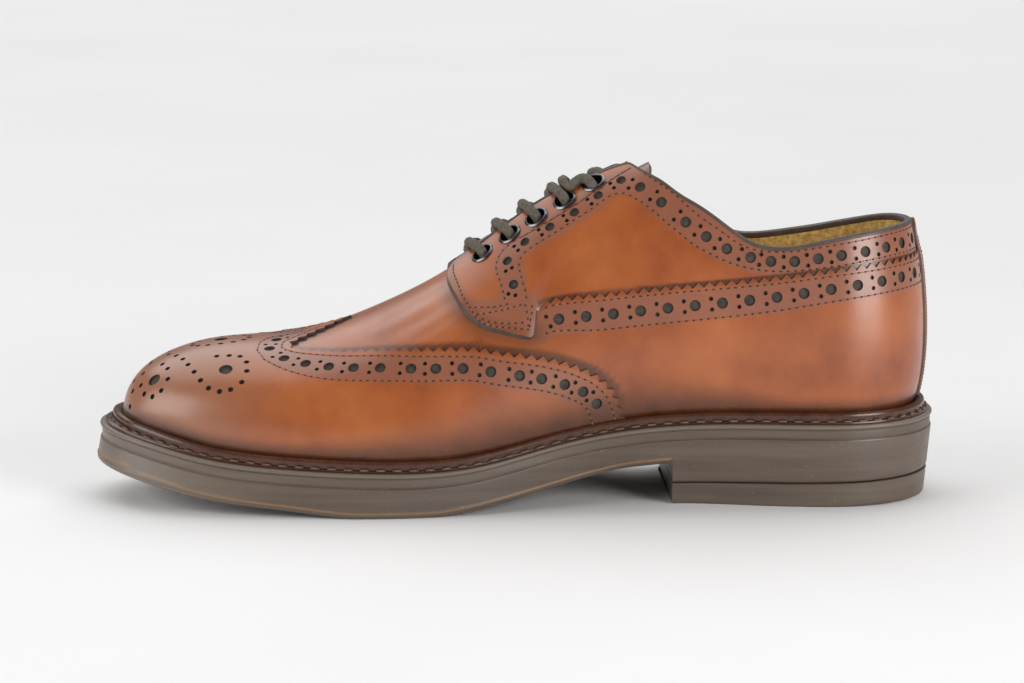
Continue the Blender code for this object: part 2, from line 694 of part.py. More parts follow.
def main():
    for old in list(bpy.data.objects):
        bpy.data.objects.remove(old)
    rubber = principled("taupe_rubber", (0.12, 0.085, 0.062), 0.55)
    lift = principled("dark_rubber", (0.10, 0.07, 0.052), 0.6)
    welt = principled("burnished_welt", (0.075, 0.022, 0.012), 0.35)
    calf = principled("cognac_calf", (0.40, 0.13, 0.045), 0.35)
    overlay = principled("cognac_overlay", (0.38, 0.12, 0.042), 0.35)
    board = principled("insole_board", (0.42, 0.27, 0.10), 0.8)
    metal = principled("gunmetal", (0.12, 0.12, 0.13), 0.3, 1.0)
    cord = principled("waxed_lace", (0.055, 0.048, 0.036), 0.7)
    make_sole(rubber)
    make_heel_top_lift(lift)
    make_welt(welt)
    make_insole(board)
    make_upper(calf)
    make_tongue(calf)
    make_wing_cap(overlay)
    make_galosh(overlay)
    make_back_strip(overlay)
    for side in (MEDIAL, LATERAL):
        make_quarter_front(side, overlay)
        for number in range(len(EYELETS)):
            make_eyelet(side, number, metal)
    for number in range(len(EYELETS)):
        make_lace_bar(number, cord)


main()
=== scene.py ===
import math

import bmesh
import bpy
import numpy as np
from mathutils import Matrix, Vector
from mathutils.kdtree import KDTree


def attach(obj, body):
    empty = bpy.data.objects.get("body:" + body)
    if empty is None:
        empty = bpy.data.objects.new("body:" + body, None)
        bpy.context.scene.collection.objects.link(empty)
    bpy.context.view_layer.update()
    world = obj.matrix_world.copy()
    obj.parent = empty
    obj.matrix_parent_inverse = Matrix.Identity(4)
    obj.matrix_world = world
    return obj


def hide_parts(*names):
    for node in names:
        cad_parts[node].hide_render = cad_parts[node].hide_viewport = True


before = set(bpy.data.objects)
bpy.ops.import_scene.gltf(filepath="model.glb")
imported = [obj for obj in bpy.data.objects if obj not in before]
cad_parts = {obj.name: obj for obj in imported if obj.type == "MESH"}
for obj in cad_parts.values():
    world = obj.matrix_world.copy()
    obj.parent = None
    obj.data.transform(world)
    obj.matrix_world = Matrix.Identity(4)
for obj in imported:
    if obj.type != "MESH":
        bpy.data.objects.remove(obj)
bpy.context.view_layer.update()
mm = 0.001
medial, lateral = -1.0, 1.0
bothSides = (medial, lateral)

# the last, in millimetres: one row per section, at a distance along from the toe tip
last = {
    "tipX": -141.85, "axisY": -7.9, "heelAxis": 256.0, "fanRadius": 33.0, "clear": 0.3,
    "backFeather": 29.7, "backSwell": 4.1, "swellV": 0.25, "lowBend": 0.35,
    "columns": ("along", "seat", "centre", "crest", "medFeather", "medSwell",
                "latFeather", "latSwell", "swellUp", "wall", "crown"),
    "rows": (
        (0.0, 27.6, 2.5, 0.0, 0.0, 0.0, 0.0, 0.0, 0.0, 0.60, 0.58),
        (4.0, 26.7, 2.6, 14.6, 14.0, 0.8, 14.0, 0.8, 4.6, 0.60, 0.58),
        (16.0, 23.9, 3.0, 26.4, 25.5, 1.6, 25.5, 1.6, 8.6, 0.585, 0.58),
        (36.0, 19.6, 4.0, 35.6, 35.0, 2.2, 35.5, 2.2, 10.4, 0.58, 0.60),
        (64.0, 17.1, 5.8, 40.6, 42.0, 2.6, 43.0, 2.6, 11.2, 0.54, 0.60),
        (95.0, 16.1, 7.0, 52.4, 46.0, 3.0, 47.5, 3.0, 12.0, 0.48, 0.58),
        (125.0, 17.6, 6.2, 67.8, 42.0, 4.0, 47.0, 3.5, 16.0, 0.43, 0.58),
        (155.0, 24.1, 4.5, 83.4, 34.0, 5.0, 42.0, 4.0, 21.0, 0.41, 0.60),
        (185.0, 29.0, 2.8, 94.2, 29.7, 5.0, 36.5, 4.0, 25.0, 0.40, 0.62),
        (215.0, 30.6, 1.4, 108.0, 28.8, 4.6, 33.0, 4.0, 27.0, 0.41, 0.64),
        (256.0, 30.5, 0.0, 116.0, 29.5, 4.0, 30.5, 4.0, 28.0, 0.41, 0.63)),
    "evenAtToe": ("seat", "centre", "wall", "crown"),
}
runEnd = last["heelAxis"] + last["fanRadius"] * math.pi / 2


def cubicCurve(knots, values, firstSlope=None, lastSlope=None):
    x = np.asarray(knots, float)
    y = np.asarray(values, float)
    count = len(x)
    step = np.diff(x)
    rise = np.diff(y) / step
    matrix = np.zeros((count, count))
    right = np.zeros(count)
    matrix[0, 0] = 1.0
    matrix[-1, -1] = 1.0
    for i in range(1, count - 1):
        matrix[i, i - 1:i + 2] = step[i - 1], 2 * (step[i - 1] + step[i]), step[i]
        right[i] = 6 * (rise[i] - rise[i - 1])
    if firstSlope is not None:
        matrix[0, :2] = 2 * step[0], step[0]
        right[0] = 6 * (rise[0] - firstSlope)
    if lastSlope is not None:
        matrix[-1, -2:] = step[-1], 2 * step[-1]
        right[-1] = 6 * (lastSlope - rise[-1])
    bend = np.linalg.solve(matrix, right)

    def value(at):
        at = np.clip(at, x[0], x[-1])
        k = np.clip(np.searchsorted(x, at) - 1, 0, count - 2)
        before = (x[k + 1] - at) / step[k]
        after = (at - x[k]) / step[k]
        curve = (before ** 3 - before) * bend[k] + (after ** 3 - after) * bend[k + 1]
        return before * y[k] + after * y[k + 1] + curve * step[k] ** 2 / 6

    return value


def rootCurves(columns, rows, even):  # one spline per column, over the root of the distance along
    data = np.array(rows, float)
    roots = np.sqrt(data[:, 0])
    return {name: cubicCurve(roots, data[:, i], 0.0 if name in even else None, 0.0)
            for i, name in enumerate(columns) if i}


def tableCurve(rows, column=1):
    data = np.array(rows, float)
    return cubicCurve(data[:, 0], data[:, column])


lastCurves = rootCurves(last["columns"], last["rows"], last["evenAtToe"])


def smoothStep(low, high, value):
    share = np.clip((np.asarray(value, float) - low) / (high - low), 0.0, 1.0)
    return share * share * (3 - 2 * share)


def roundHeel(beside, behind, turn):
    return 1.0 / np.sqrt((np.cos(turn) / np.maximum(beside, 1e-9)) ** 2 + (np.sin(turn) / behind) ** 2)


def splitRun(run):
    run = np.asarray(run, float)
    return np.clip(run, 0.0, last["heelAxis"]), np.maximum(run - last["heelAxis"], 0.0) / last["fanRadius"]


def lastPoint(side, run, v):
    along, turn = splitRun(run)
    size = {name: curve(np.sqrt(along)) for name, curve in lastCurves.items()}
    inner = np.asarray(side) < 0
    beside = np.where(inner, size["medFeather"], size["latFeather"])
    swollen = beside + np.where(inner, size["medSwell"], size["latSwell"])
    feather = np.where(turn > 0, roundHeel(beside, last["backFeather"], turn), beside)
    behind = last["backFeather"] + last["backSwell"]
    widest = np.where(turn > 0, roundHeel(swollen, behind, turn), swollen)
    foot = size["seat"] + last["clear"]
    waist = foot + size["swellUp"]
    top = np.maximum(size["seat"] + size["crest"], waist)
    low = np.clip(v / last["swellV"], 0.0, 1.0)
    high = np.clip((v - last["swellV"]) / (1.0 - last["swellV"]), 0.0, 1.0)
    lowR = (1 - low) ** 2 * feather + (1 - (1 - low) ** 2) * widest
    lowZ = 2 * (1 - low) * low * last["lowBend"] * size["swellUp"] + low ** 2 * size["swellUp"] + foot
    a, b, c = (1 - high) ** 3, 3 * (1 - high) ** 2 * high, 3 * (1 - high) * high ** 2
    highR = (a + b) * widest + c * size["crown"] * widest
    highZ = a * waist + b * (waist + size["wall"] * (top - waist)) + (1 - a - b) * top
    radius = np.where(v < last["swellV"], lowR, highR)
    x = last["tipX"] + along + radius * np.sin(turn)
    y = last["axisY"] + size["centre"] + side * radius * np.cos(turn)
    return np.stack([x, y, np.where(v < last["swellV"], lowZ, highZ)], -1)


def lastSlopes(side, run, v):  # how the point moves per millimetre of run and per unit of v
    run = np.maximum(np.asarray(run, float), 0.02)
    v = np.asarray(v, float)
    byRun = (lastPoint(side, run + 0.01, v) - lastPoint(side, run - 0.01, v)) / 0.02
    highV = np.minimum(v + 0.002, 1.0)
    lowV = np.maximum(v - 0.002, 0.0)
    byV = (lastPoint(side, run, highV) - lastPoint(side, run, lowV)) / np.expand_dims(highV - lowV, -1)
    return byRun, byV


def lastNormal(side, run, v):
    side = np.asarray(side, float)
    byRun, byV = lastSlopes(side, run, v)
    normal = -np.cross(byRun, byV) * np.expand_dims(side, -1)
    normal = normal / np.maximum(np.linalg.norm(normal, axis=-1, keepdims=True), 1e-12)
    atTip = np.expand_dims(np.asarray(run) <= 0.02, -1)
    return np.where(atTip, np.array([-1.0, 0.0, 0.0]), normal)


def onLast(side, run, v, out):
    run, v = np.broadcast_arrays(np.asarray(run, float), np.asarray(v, float))
    away = np.expand_dims(np.broadcast_to(out, run.shape), -1)
    return lastPoint(side, run, v) + lastNormal(side, run, v) * away


sampleV = np.linspace(0.0, 1.0, 401)


def sectionOf(side, run):
    return lastPoint(side, np.full_like(sampleV, run), sampleV)


def girthOf(side, run):  # distance climbed from the feather edge
    points = sectionOf(side, run)
    return np.concatenate([[0.0], np.cumsum(np.linalg.norm(np.diff(points, axis=0), axis=1))])


def vAtHeight(side, run, height):
    return float(np.interp(height, sectionOf(side, run)[:, 2], sampleV))


def vBeside(side, run, distance):  # on the upper part, at a distance from the centre line
    points = sectionOf(side, run)
    upper = sampleV >= last["swellV"]
    return float(np.interp(-distance, -np.abs(points[upper, 1] - points[-1, 1]), sampleV[upper]))


def vBelow(side, run, v, drop):  # that many millimetres further down the section
    girth = girthOf(side, run)
    return np.interp(np.interp(v, sampleV, girth) - drop, girth, sampleV)


def vSteps(side, run, lowV, highV, shares):  # shares of the length between two heights
    girth = girthOf(side, run)
    low, high = np.interp((lowV, highV), sampleV, girth)
    return np.interp(low + (high - low) * np.asarray(shares, float), girth, sampleV)


hem = 0.6  # how far the upper starts above the feather edge
hemRuns = np.linspace(math.sqrt(0.3), math.sqrt(runEnd), 160) ** 2
hemTable = {side: np.array([vAtHeight(side, run, float(lastPoint(side, run, 0.0)[2]) + hem)
                            for run in hemRuns]) for side in bothSides}


def hemV(side, run):
    return np.interp(run, hemRuns, hemTable[side])


def march(side, run, v, heading, distance, step=0.8):  # walk over the last from a place
    run = np.array(run, float)
    v = np.array(v, float)
    heading = np.array(heading, float)
    count = max(1, math.ceil(float(np.max(np.abs(distance))) / step))
    for _ in range(count):
        byRun, byV = lastSlopes(side, run, v)
        rr, rv, vv = (np.sum(p * q, -1) for p, q in ((byRun, byRun), (byRun, byV), (byV, byV)))
        hr, hv = np.sum(heading * byRun, -1), np.sum(heading * byV, -1)
        det = np.maximum(rr * vv - rv * rv, 1e-9)
        dRun, dV = (hr * vv - hv * rv) / det, (hv * rr - hr * rv) / det
        moved = byRun * dRun[..., None] + byV * dV[..., None]
        scale = distance / count / np.maximum(np.linalg.norm(moved, axis=-1), 1e-9)
        run = np.clip(run + dRun * scale, 0.05, runEnd)
        v = np.clip(v + dV * scale, 0.0, 1.0)
    return run, v


def along3d(points):
    return np.concatenate([[0.0], np.cumsum(np.linalg.norm(np.diff(points, axis=0), axis=1))])


def resample(line, length, at):  # line columns at distances along it
    return np.stack([np.interp(at, length, line[:, k]) for k in range(line.shape[1])], -1)


def aheadOf(line, length, at, reach):  # the step from just before to just after
    after = resample(line, length, np.minimum(at + reach, length[-1]))
    return after - resample(line, length, np.maximum(at - reach, 0))


def inwardOf(side, run, v):  # unit direction in the surface, to the left of a path
    points = lastPoint(side, run, v)
    ahead = np.gradient(points, axis=0)
    ahead /= np.maximum(np.linalg.norm(ahead, axis=1, keepdims=True), 1e-9)
    return np.cross(lastNormal(side, run, v), ahead) * -side


# outlines of the pieces
shape = {
    "topline": ((174.0, 123.5, 119.8), (179.0, 122.2, 118.6), (182.5, 121.3, 117.4), (186.0, 119.8, 115.8),
                (190.0, 118.0, 113.8), (194.0, 116.0, 111.4), (199.0, 112.5, 107.8), (206.5, 108.2, 102.6),
                (213.8, 103.2, 96.8), (219.6, 98.9, 92.6), (224.5, 95.9, 90.4), (230.0, 94.2, 89.8),
                (236.0, 93.8, 90.2), (242.0, 94.4, 91.0), (254.7, 96.9, 92.9), (269.0, 98.9, 95.6),
                (284.0, 99.9, 98.4), (308.0, 99.9, 99.9)),
    "soft": 0.013,                                       # rounds the top corner
    "throat": ((121.0, 0.0), (123.0, 3.0), (127.0, 5.0), (150.0, 5.9), (172.0, 5.6), (190.0, 6.4)),
    "wing": ((0.0, 181.2), (0.08, 179.1), (0.13, 177.6), (0.18, 175.0), (0.256, 167.0), (0.317, 158.0),
             (0.38, 147.2), (0.454, 134.6), (0.517, 124.8), (0.597, 107.2), (0.665, 91.2), (0.709, 80.5),
             (0.76, 70.6), (0.81, 62.9), (0.85, 61.0), (0.886, 64.0), (0.925, 69.2), (0.965, 76.0),
             (1.0, 82.6)),
    "galosh": ((147.4, 69.0), (148.0, 71.1), (149.5, 73.6), (151.4, 75.2), (154.0, 76.1), (157.0, 76.6),
               (164.0, 77.3), (192.0, 80.2), (238.0, 84.6), (262.0, 87.6), (308.0, 89.2)),
    "galoshFront": 147.4,
    "lateralFall": 2.6, "lateralFallRun": (138.0, 172.0),  # the lateral facing lies a little lower
}
topline = {medial: tableCurve(shape["topline"], 1), lateral: tableCurve(shape["topline"], 2)}
throat = tableCurve(shape["throat"])
wingEdge = tableCurve(shape["wing"])
galoshEdge = tableCurve(shape["galosh"])


def lateralDrop(side, run):
    return shape["lateralFall"] * float(smoothStep(*shape["lateralFallRun"], run)) * (side > 0)


def freeEdgeV(side, run):  # facing, then collar
    edge = vBeside(side, min(run, last["heelAxis"]), float(throat(run)) + lateralDrop(side, run))
    if run >= shape["topline"][0][0]:
        other = vAtHeight(side, run, float(topline[side](run)))
        edge = -shape["soft"] * math.log(math.exp(-edge / shape["soft"]) + math.exp(-other / shape["soft"]))
    return edge


# stand-off of each leather layer from the last
layer = {
    "vamp": 0.15, "galosh": 0.9, "rise": (112.0, 172.0), "wing": 1.1, "quarter": 0.2,
    "tab": {medial: 2.0, lateral: 1.1}, "lift": {medial: 2.4, lateral: 1.2},
    "spring": {medial: 1.7, lateral: 0.0}, "springRun": (128.0, 144.0, 175.0, 188.0), "springV": 0.6,
    "tabFront": 118.8, "liftRun": 24.0,
    "fall": ((142.5, 154.0), (146.0, 182.0)), "fallV": (0.56, 0.8),  # behind the tab, low and at the facing
}

# soft creases of the vamp: both ends as run and hundredths of v, then rise and half width
creases = (((92.0, 77.0), (119.0, 81.5), 0.36, 3.0), ((95.0, 72.0), (118.0, 75.5), -0.26, 2.6),
           ((99.0, 83.5), (117.0, 87.5), -0.22, 2.6), ((104.0, 65.5), (119.0, 68.5), -0.18, 2.4))


def creaseOut(run, v):
    run, level = np.broadcast_arrays(np.asarray(run, float), 100.0 * np.asarray(v, float))
    total = np.zeros(run.shape)
    for first, second, rise, wide in creases:
        step = np.subtract(second, first)
        share = ((run - first[0]) * step[0] + (level - first[1]) * step[1]) / np.dot(step, step)
        near = np.clip(share, 0.0, 1.0)
        gap = np.hypot(run - first[0] - step[0] * near, level - first[1] - step[1] * near)
        total += rise * np.exp(-(gap / wide) ** 2) * np.sin(np.pi * np.clip(0.12 + 0.76 * near, 0.0, 1.0))
    return total


def vampOut(run, v):
    rise = smoothStep(*layer["rise"], run)
    return layer["vamp"] + (layer["galosh"] - layer["vamp"]) * rise + creaseOut(run, v)


def wingOut(run, v):
    return vampOut(run, v) + layer["wing"]


def quarterOut(side):  # the tab stands proud of the vamp, less so on the lateral side
    tab, lift = layer["tab"][side], layer["lift"][side]

    def out(run, v):
        run, v = np.asarray(run, float), np.asarray(v, float)
        back = np.clip(1.0 - (run - layer["tabFront"]) / layer["liftRun"], 0.0, 1.0)
        facing = smoothStep(*layer["fallV"], v)
        start, stop = (low + (high - low) * facing for low, high in zip(*layer["fall"]))
        fall = smoothStep(0.0, 1.0, (run - start) / (stop - start))
        high = np.clip((v - layer["springV"]) / (1.0 - layer["springV"]), 0.0, 1.0)
        rise, top, first, end = layer["springRun"]
        spring = layer["spring"][side] * smoothStep(rise, top, run) * (1.0 - smoothStep(first, end, run))
        return tab + (layer["quarter"] - tab) * fall + (lift * back + spring) * high

    return out


# materials
def newMaterial(name):
    material = bpy.data.materials.new(name)
    material.use_nodes = True
    tree = material.node_tree
    return material, tree, tree.nodes["Principled BSDF"]


def addNode(tree, kind, **values):
    node = tree.nodes.new(kind)
    for key, value in values.items():
        if hasattr(node, key):
            setattr(node, key, value)
        else:
            node.inputs[key].default_value = value
    return node


def noiseOf(tree, scale, detail=4.0, rough=0.55, stretch=None):
    coords = addNode(tree, "ShaderNodeTexCoord")
    noise = addNode(tree, "ShaderNodeTexNoise")
    noise.inputs["Scale"].default_value = scale
    noise.inputs["Detail"].default_value = detail
    noise.inputs["Roughness"].default_value = rough
    if stretch:
        mapping = addNode(tree, "ShaderNodeMapping")
        mapping.inputs["Scale"].default_value = stretch
        tree.links.new(coords.outputs["Object"], mapping.inputs["Vector"])
        tree.links.new(mapping.outputs["Vector"], noise.inputs["Vector"])
    else:
        tree.links.new(coords.outputs["Object"], noise.inputs["Vector"])
    return noise.outputs["Fac"]


def rampOf(tree, source, stops):
    ramp = addNode(tree, "ShaderNodeValToRGB")
    elements = ramp.color_ramp.elements
    while len(elements) < len(stops):
        elements.new(0.5)
    for element, (place, colour) in zip(elements, stops):
        element.position = place
        element.color = (*colour, 1.0)
    tree.links.new(source, ramp.inputs["Fac"])
    return ramp.outputs["Color"]


def feed(tree, socket, value):  # a link, a colour or a number
    if isinstance(value, bpy.types.NodeSocket):
        tree.links.new(value, socket)
    elif isinstance(value, tuple):
        socket.default_value = (*value, 1.0)
    else:
        socket.default_value = value


def mixColours(tree, share, first, second):
    mix = addNode(tree, "ShaderNodeMix", data_type="RGBA", blend_type="MIX")
    for place, value in ((0, share), (6, first), (7, second)):
        feed(tree, mix.inputs[place], value)
    return mix.outputs[2]


def mathOf(tree, operation, first, second=0.0, clamp=False):
    node = addNode(tree, "ShaderNodeMath", operation=operation, use_clamp=clamp)
    for socket, value in zip(node.inputs, (first, second)):
        feed(tree, socket, value)
    return node.outputs["Value"]


def toneOf(tree):  # the painted tone, as red, green and blue
    tone = addNode(tree, "ShaderNodeAttribute", attribute_name="tone")
    parts = addNode(tree, "ShaderNodeSeparateColor")
    tree.links.new(tone.outputs["Color"], parts.inputs["Color"])
    return parts.outputs


def roughOf(tree, shader, scale, low, high):
    rough = rampOf(tree, noiseOf(tree, scale, 4.0, 0.6), ((0.3, (low,) * 3), (0.7, (high,) * 3)))
    tree.links.new(rough, shader.inputs["Roughness"])


def bumpOf(tree, shader, height, strength, distance, before=None):
    bump = addNode(tree, "ShaderNodeBump")
    bump.inputs["Strength"].default_value = strength
    bump.inputs["Distance"].default_value = distance
    tree.links.new(height, bump.inputs["Height"])
    if before is not None:
        tree.links.new(before, bump.inputs["Normal"])
    tree.links.new(bump.outputs["Normal"], shader.inputs["Normal"])
    return bump.outputs["Normal"]


calf = {"light": (0.430, 0.124, 0.029), "mid": (0.330, 0.083, 0.017), "deep": (0.215, 0.045, 0.008),
        "burntAndShade": (0.060, 0.016, 0.004), "band": (0.215, 0.088, 0.058), "toe": (0.275, 0.104, 0.050),
        "roughness": (0.30, 0.42), "coat": 0.4, "coatRoughness": 0.28}


def makeCalf(name):
    material, tree, shader = newMaterial(name)
    tone = toneOf(tree)
    clouds = noiseOf(tree, 26.0, 5.0, 0.6)
    body = rampOf(tree, clouds, ((0.30, calf["deep"]), (0.48, calf["mid"]), (0.70, calf["light"])))
    streaks = noiseOf(tree, 60.0, 3.0, 0.6, (1.0, 1.0, 0.18))
    body = mixColours(tree, mathOf(tree, "MULTIPLY", streaks, 0.3), body, calf["deep"])
    body = mixColours(tree, tone["Blue"], body, calf["toe"])
    body = mixColours(tree, mathOf(tree, "MULTIPLY", tone["Green"], 0.66), body, calf["band"])
    speckle = noiseOf(tree, 150.0, 3.0, 0.6)
    uneven = mathOf(tree, "ADD", mathOf(tree, "MULTIPLY", speckle, 0.4), 0.78)
    # red tone darkens toward burntAndShade: burnished hems, edges and teeth, and painted shade beside the
    # wing edge, below the tab, in the galosh notches and low on the flanks
    edge = mathOf(tree, "MULTIPLY", tone["Red"], uneven, True)
    body = mixColours(tree, edge, body, calf["burntAndShade"])
    tree.links.new(body, shader.inputs["Base Color"])
    roughOf(tree, shader, 90.0, *calf["roughness"])
    shader.inputs["Coat Weight"].default_value = calf["coat"]
    shader.inputs["Coat Roughness"].default_value = calf["coatRoughness"]
    grain = noiseOf(tree, 1900.0, 2.0, 0.6)
    first = bumpOf(tree, shader, grain, 0.10, 0.0002)
    bumpOf(tree, shader, noiseOf(tree, 330.0, 3.0, 0.55), 0.10, 0.0004, first)
    return material


def makePlain(name, colours, roughness, scale, bumpScale, bumpDeep, metallic=0.0, bumpStrength=0.3):
    material, tree, shader = newMaterial(name)
    body = rampOf(tree, noiseOf(tree, scale, 5.0, 0.6), ((0.3, colours[0]), (0.7, colours[1])))
    tree.links.new(body, shader.inputs["Base Color"])
    roughOf(tree, shader, scale * 2.3, *roughness)
    shader.inputs["Metallic"].default_value = metallic
    bumpOf(tree, shader, noiseOf(tree, bumpScale, 4.0, 0.6), bumpStrength, bumpDeep)
    return material


rubber = {"dark": (0.086, 0.062, 0.045), "pale": (0.124, 0.093, 0.070), "lip": (0.165, 0.127, 0.097),
          "seam": (0.30, 0.165, 0.080), "speck": (0.26, 0.22, 0.18), "roughness": (0.36, 0.5)}


def makeRubber(name):  # tone gives the parting line, the lip and a painted highlight toward the toe
    material, tree, shader = newMaterial(name)
    tone = toneOf(tree)
    streaks = noiseOf(tree, 40.0, 4.0, 0.6, (0.35, 0.35, 7.0))
    body = rampOf(tree, streaks, ((0.32, rubber["dark"]), (0.68, rubber["pale"])))
    specks = rampOf(tree, noiseOf(tree, 900.0, 2.0, 0.5), ((0.70, (0.0,) * 3), (0.76, (1.0,) * 3)))
    body = mixColours(tree, mathOf(tree, "MULTIPLY", specks, 0.5), body, rubber["speck"])
    # green tone mixes in the lip colour, for the lip and for the painted highlight toward the toe
    body = mixColours(tree, mathOf(tree, "MULTIPLY", tone["Green"], 0.75), body, rubber["lip"])
    body = mixColours(tree, mathOf(tree, "MULTIPLY", tone["Red"], 0.6), body, rubber["seam"])
    tree.links.new(body, shader.inputs["Base Color"])
    roughOf(tree, shader, 140.0, *rubber["roughness"])
    bumpOf(tree, shader, noiseOf(tree, 700.0, 4.0, 0.6), 0.25, 0.0003)
    return material


# colours, roughness, cloud scale, then bump scale and depth
finishes = {
    "edgeInk": (((0.050, 0.034, 0.026), (0.090, 0.062, 0.048)), (0.45, 0.6), 300.0, 1500.0, 0.0002),
    "punchedHole": (((0.028, 0.021, 0.016), (0.080, 0.064, 0.050)), (0.7, 0.9), 500.0, 2500.0, 0.0001),
    "brownThread": (((0.20, 0.062, 0.022), (0.38, 0.145, 0.060)), (0.6, 0.75), 900.0, 4000.0, 0.0001),
    "needleHoleShade": (((0.030, 0.010, 0.006), (0.055, 0.020, 0.011)), (0.7, 0.9), 900.0, 3000.0, 0.0001),
    "mustardLining": (((0.42, 0.24, 0.055), (0.98, 0.72, 0.27)), (0.7, 0.85), 520.0, 900.0, 0.0004),
    "burnishedWelt": (((0.046, 0.015, 0.007), (0.082, 0.028, 0.013)), (0.2, 0.32), 160.0, 900.0, 0.0002),
    "weltThread": (((0.080, 0.056, 0.040), (0.165, 0.122, 0.090)), (0.6, 0.75), 900.0, 4000.0, 0.0001),
    "gunmetal": (((0.10, 0.10, 0.105), (0.19, 0.19, 0.20)), (0.2, 0.32), 400.0, 1500.0, 0.00005, 1.0),
    "greyLace": (((0.058, 0.047, 0.035), (0.135, 0.115, 0.088)), (0.65, 0.85), 700.0, 2600.0, 0.0003, 0.0,
                 0.6),
}
calfMaterial = makeCalf("cognacCalf")
inkMaterial, holeMaterial, threadMaterial, needleShadeMaterial, liningMaterial = (
    makePlain(name, *finishes[name])
    for name in ("edgeInk", "punchedHole", "brownThread", "needleHoleShade", "mustardLining"))
rubberMaterial = makeRubber("taupeRubber")
weltMaterial, weltThread, metalMaterial, laceMaterial = (
    makePlain(name, *finishes[name]) for name in ("burnishedWelt", "weltThread", "gunmetal", "greyLace"))
print("materials ready")


# mesh helpers
def gridMesh(bm, across, up):  # returns grid places as (i, j) arrays, in vertex order
    bmesh.ops.create_grid(bm, x_segments=across, y_segments=up, size=1.0)
    co = np.array([vert.co[:2] for vert in bm.verts])
    return np.rint((co[:, 0] + 1) / 2 * across).astype(int), np.rint((co[:, 1] + 1) / 2 * up).astype(int)


def finishPiece(name, bm, materials, sharp=40.0, recalc=True):
    if recalc:
        bmesh.ops.recalc_face_normals(bm, faces=bm.faces)
    mesh = bpy.data.meshes.new(name)
    bm.to_mesh(mesh)
    bm.free()
    for material in materials:
        mesh.materials.append(material)
    mesh.shade_smooth()
    mesh.set_sharp_from_angle(angle=math.radians(sharp))
    piece = bpy.data.objects.new(name, mesh)
    bpy.context.scene.collection.objects.link(piece)
    return piece


def sheetPiece(name, top, under, materials, merge=0.012):  # a wall between two grids of points
    across, up = top.shape[0] - 1, top.shape[1] - 1
    bm = bmesh.new()
    i, j = gridMesh(bm, across, up)
    place = bm.verts.layers.int.new("place")
    flat = i * (up + 1) + j
    topFlat = top.reshape(-1, 3) * mm
    underFlat = under.reshape(-1, 3) * mm
    for vert, k in zip(bm.verts, flat):
        vert[place] = int(k)
        vert.co = topFlat[k]
    bmesh.ops.remove_doubles(bm, verts=bm.verts, dist=merge * mm)
    made = bmesh.ops.extrude_face_region(bm, geom=bm.faces[:])["geom"]
    fresh = {item for item in made if isinstance(item, bmesh.types.BMVert)}
    for vert in fresh:
        vert.co = underFlat[vert[place]]
    for face in bm.faces:
        low = sum(vert in fresh for vert in face.verts)
        face.material_index = 0 if low in (0, len(face.verts)) else 1
    bmesh.ops.dissolve_degenerate(bm, dist=0.002 * mm, edges=bm.edges)
    return finishPiece(name, bm, materials)


# a closed skin from one grid
def loftPiece(name, points, material, closeEnds=False, merge=0.012, sharp=40.0):
    bm = bmesh.new()
    i, j = gridMesh(bm, points.shape[0] - 1, points.shape[1] - 1)
    for vert, a, b in zip(bm.verts, i, j):
        vert.co = points[a, b] * mm
    bmesh.ops.remove_doubles(bm, verts=bm.verts, dist=merge * mm)
    if closeEnds:
        bmesh.ops.holes_fill(bm, edges=[edge for edge in bm.edges if edge.is_boundary])
    return finishPiece(name, bm, [material], sharp)


batchSize = 60


def joinShapes(places, shapeOf):  # many small shapes in one bmesh, made in batches to stay quick
    whole = bmesh.new()
    for first in range(0, len(places), batchSize):
        bm = bmesh.new()
        for place in places[first:first + batchSize]:
            shapeOf(bm, place)
        mesh = bpy.data.meshes.new("batch")
        bm.to_mesh(mesh)
        bm.free()
        whole.from_mesh(mesh)
        bpy.data.meshes.remove(mesh)
    return whole


def cutAway(piece, shapes, material, sharp=38.0):
    cutter = finishPiece(piece.name + "Cutter", shapes, [material])
    cut = piece.modifiers.new("cut", "BOOLEAN")
    cut.operation = "DIFFERENCE"
    cut.solver = "MANIFOLD"
    cut.material_mode = "TRANSFER"
    cut.object = cutter
    graph = bpy.context.evaluated_depsgraph_get()
    mesh = bpy.data.meshes.new_from_object(piece.evaluated_get(graph))
    piece.modifiers.clear()
    old = piece.data
    piece.data = mesh
    bpy.data.meshes.remove(old)
    bpy.data.objects.remove(cutter)
    mesh.shade_smooth()
    mesh.set_sharp_from_angle(angle=math.radians(sharp))
    mesh.name = piece.name


# blind round holes, each (point, normal, radius, sides), a little narrower at the foot
def punch(piece, holes, material, deep, lift=2.5):
    def borer(bm, hole):
        point, normal, radius, sides = hole
        turn = Vector(normal).to_track_quat("Z", "Y").to_matrix().to_4x4()
        middle = Vector(point) + Vector(normal) * (lift - deep) / 2
        bmesh.ops.create_cone(bm, cap_ends=True, segments=sides, radius1=radius * 0.94 * mm,
                              radius2=radius * mm, depth=(lift + deep) * mm,
                              matrix=Matrix.Translation(middle * mm) @ turn)

    cutAway(piece, joinShapes(holes, borer), material)


def nearestTo(points):
    tree = KDTree(len(points))
    for k, point in enumerate(points):
        tree.insert(point, k)
    tree.balance()
    return lambda at: tree.find(at)


def paintTone(piece, red, green, blue):  # each gives 0 to 1 at a point in millimetres
    mesh = piece.data
    attribute = mesh.color_attributes.new("tone", "FLOAT_COLOR", "POINT")
    co = np.zeros(len(mesh.vertices) * 3)
    mesh.vertices.foreach_get("co", co)
    points = co.reshape(-1, 3) / mm
    values = np.ones((len(points), 4))
    for k, rule in enumerate((red, green, blue)):
        values[:, k] = np.clip(rule(points), 0.0, 1.0)
    attribute.data.foreach_set("color", values.ravel())


# stitches: small beads of thread laid along a path, with a dark pit at each end as painted shade of the
# needle hole
threads = {"pitch": 2.6, "tab": 2.2, "seam": 1.0, "long": 1.5, "longShare": 0.7, "wide": 0.44,
           "pitLong": 0.56, "pitWide": 0.33, "pitTall": 0.17}
stitchSpots = {"upper": [], "welt": []}


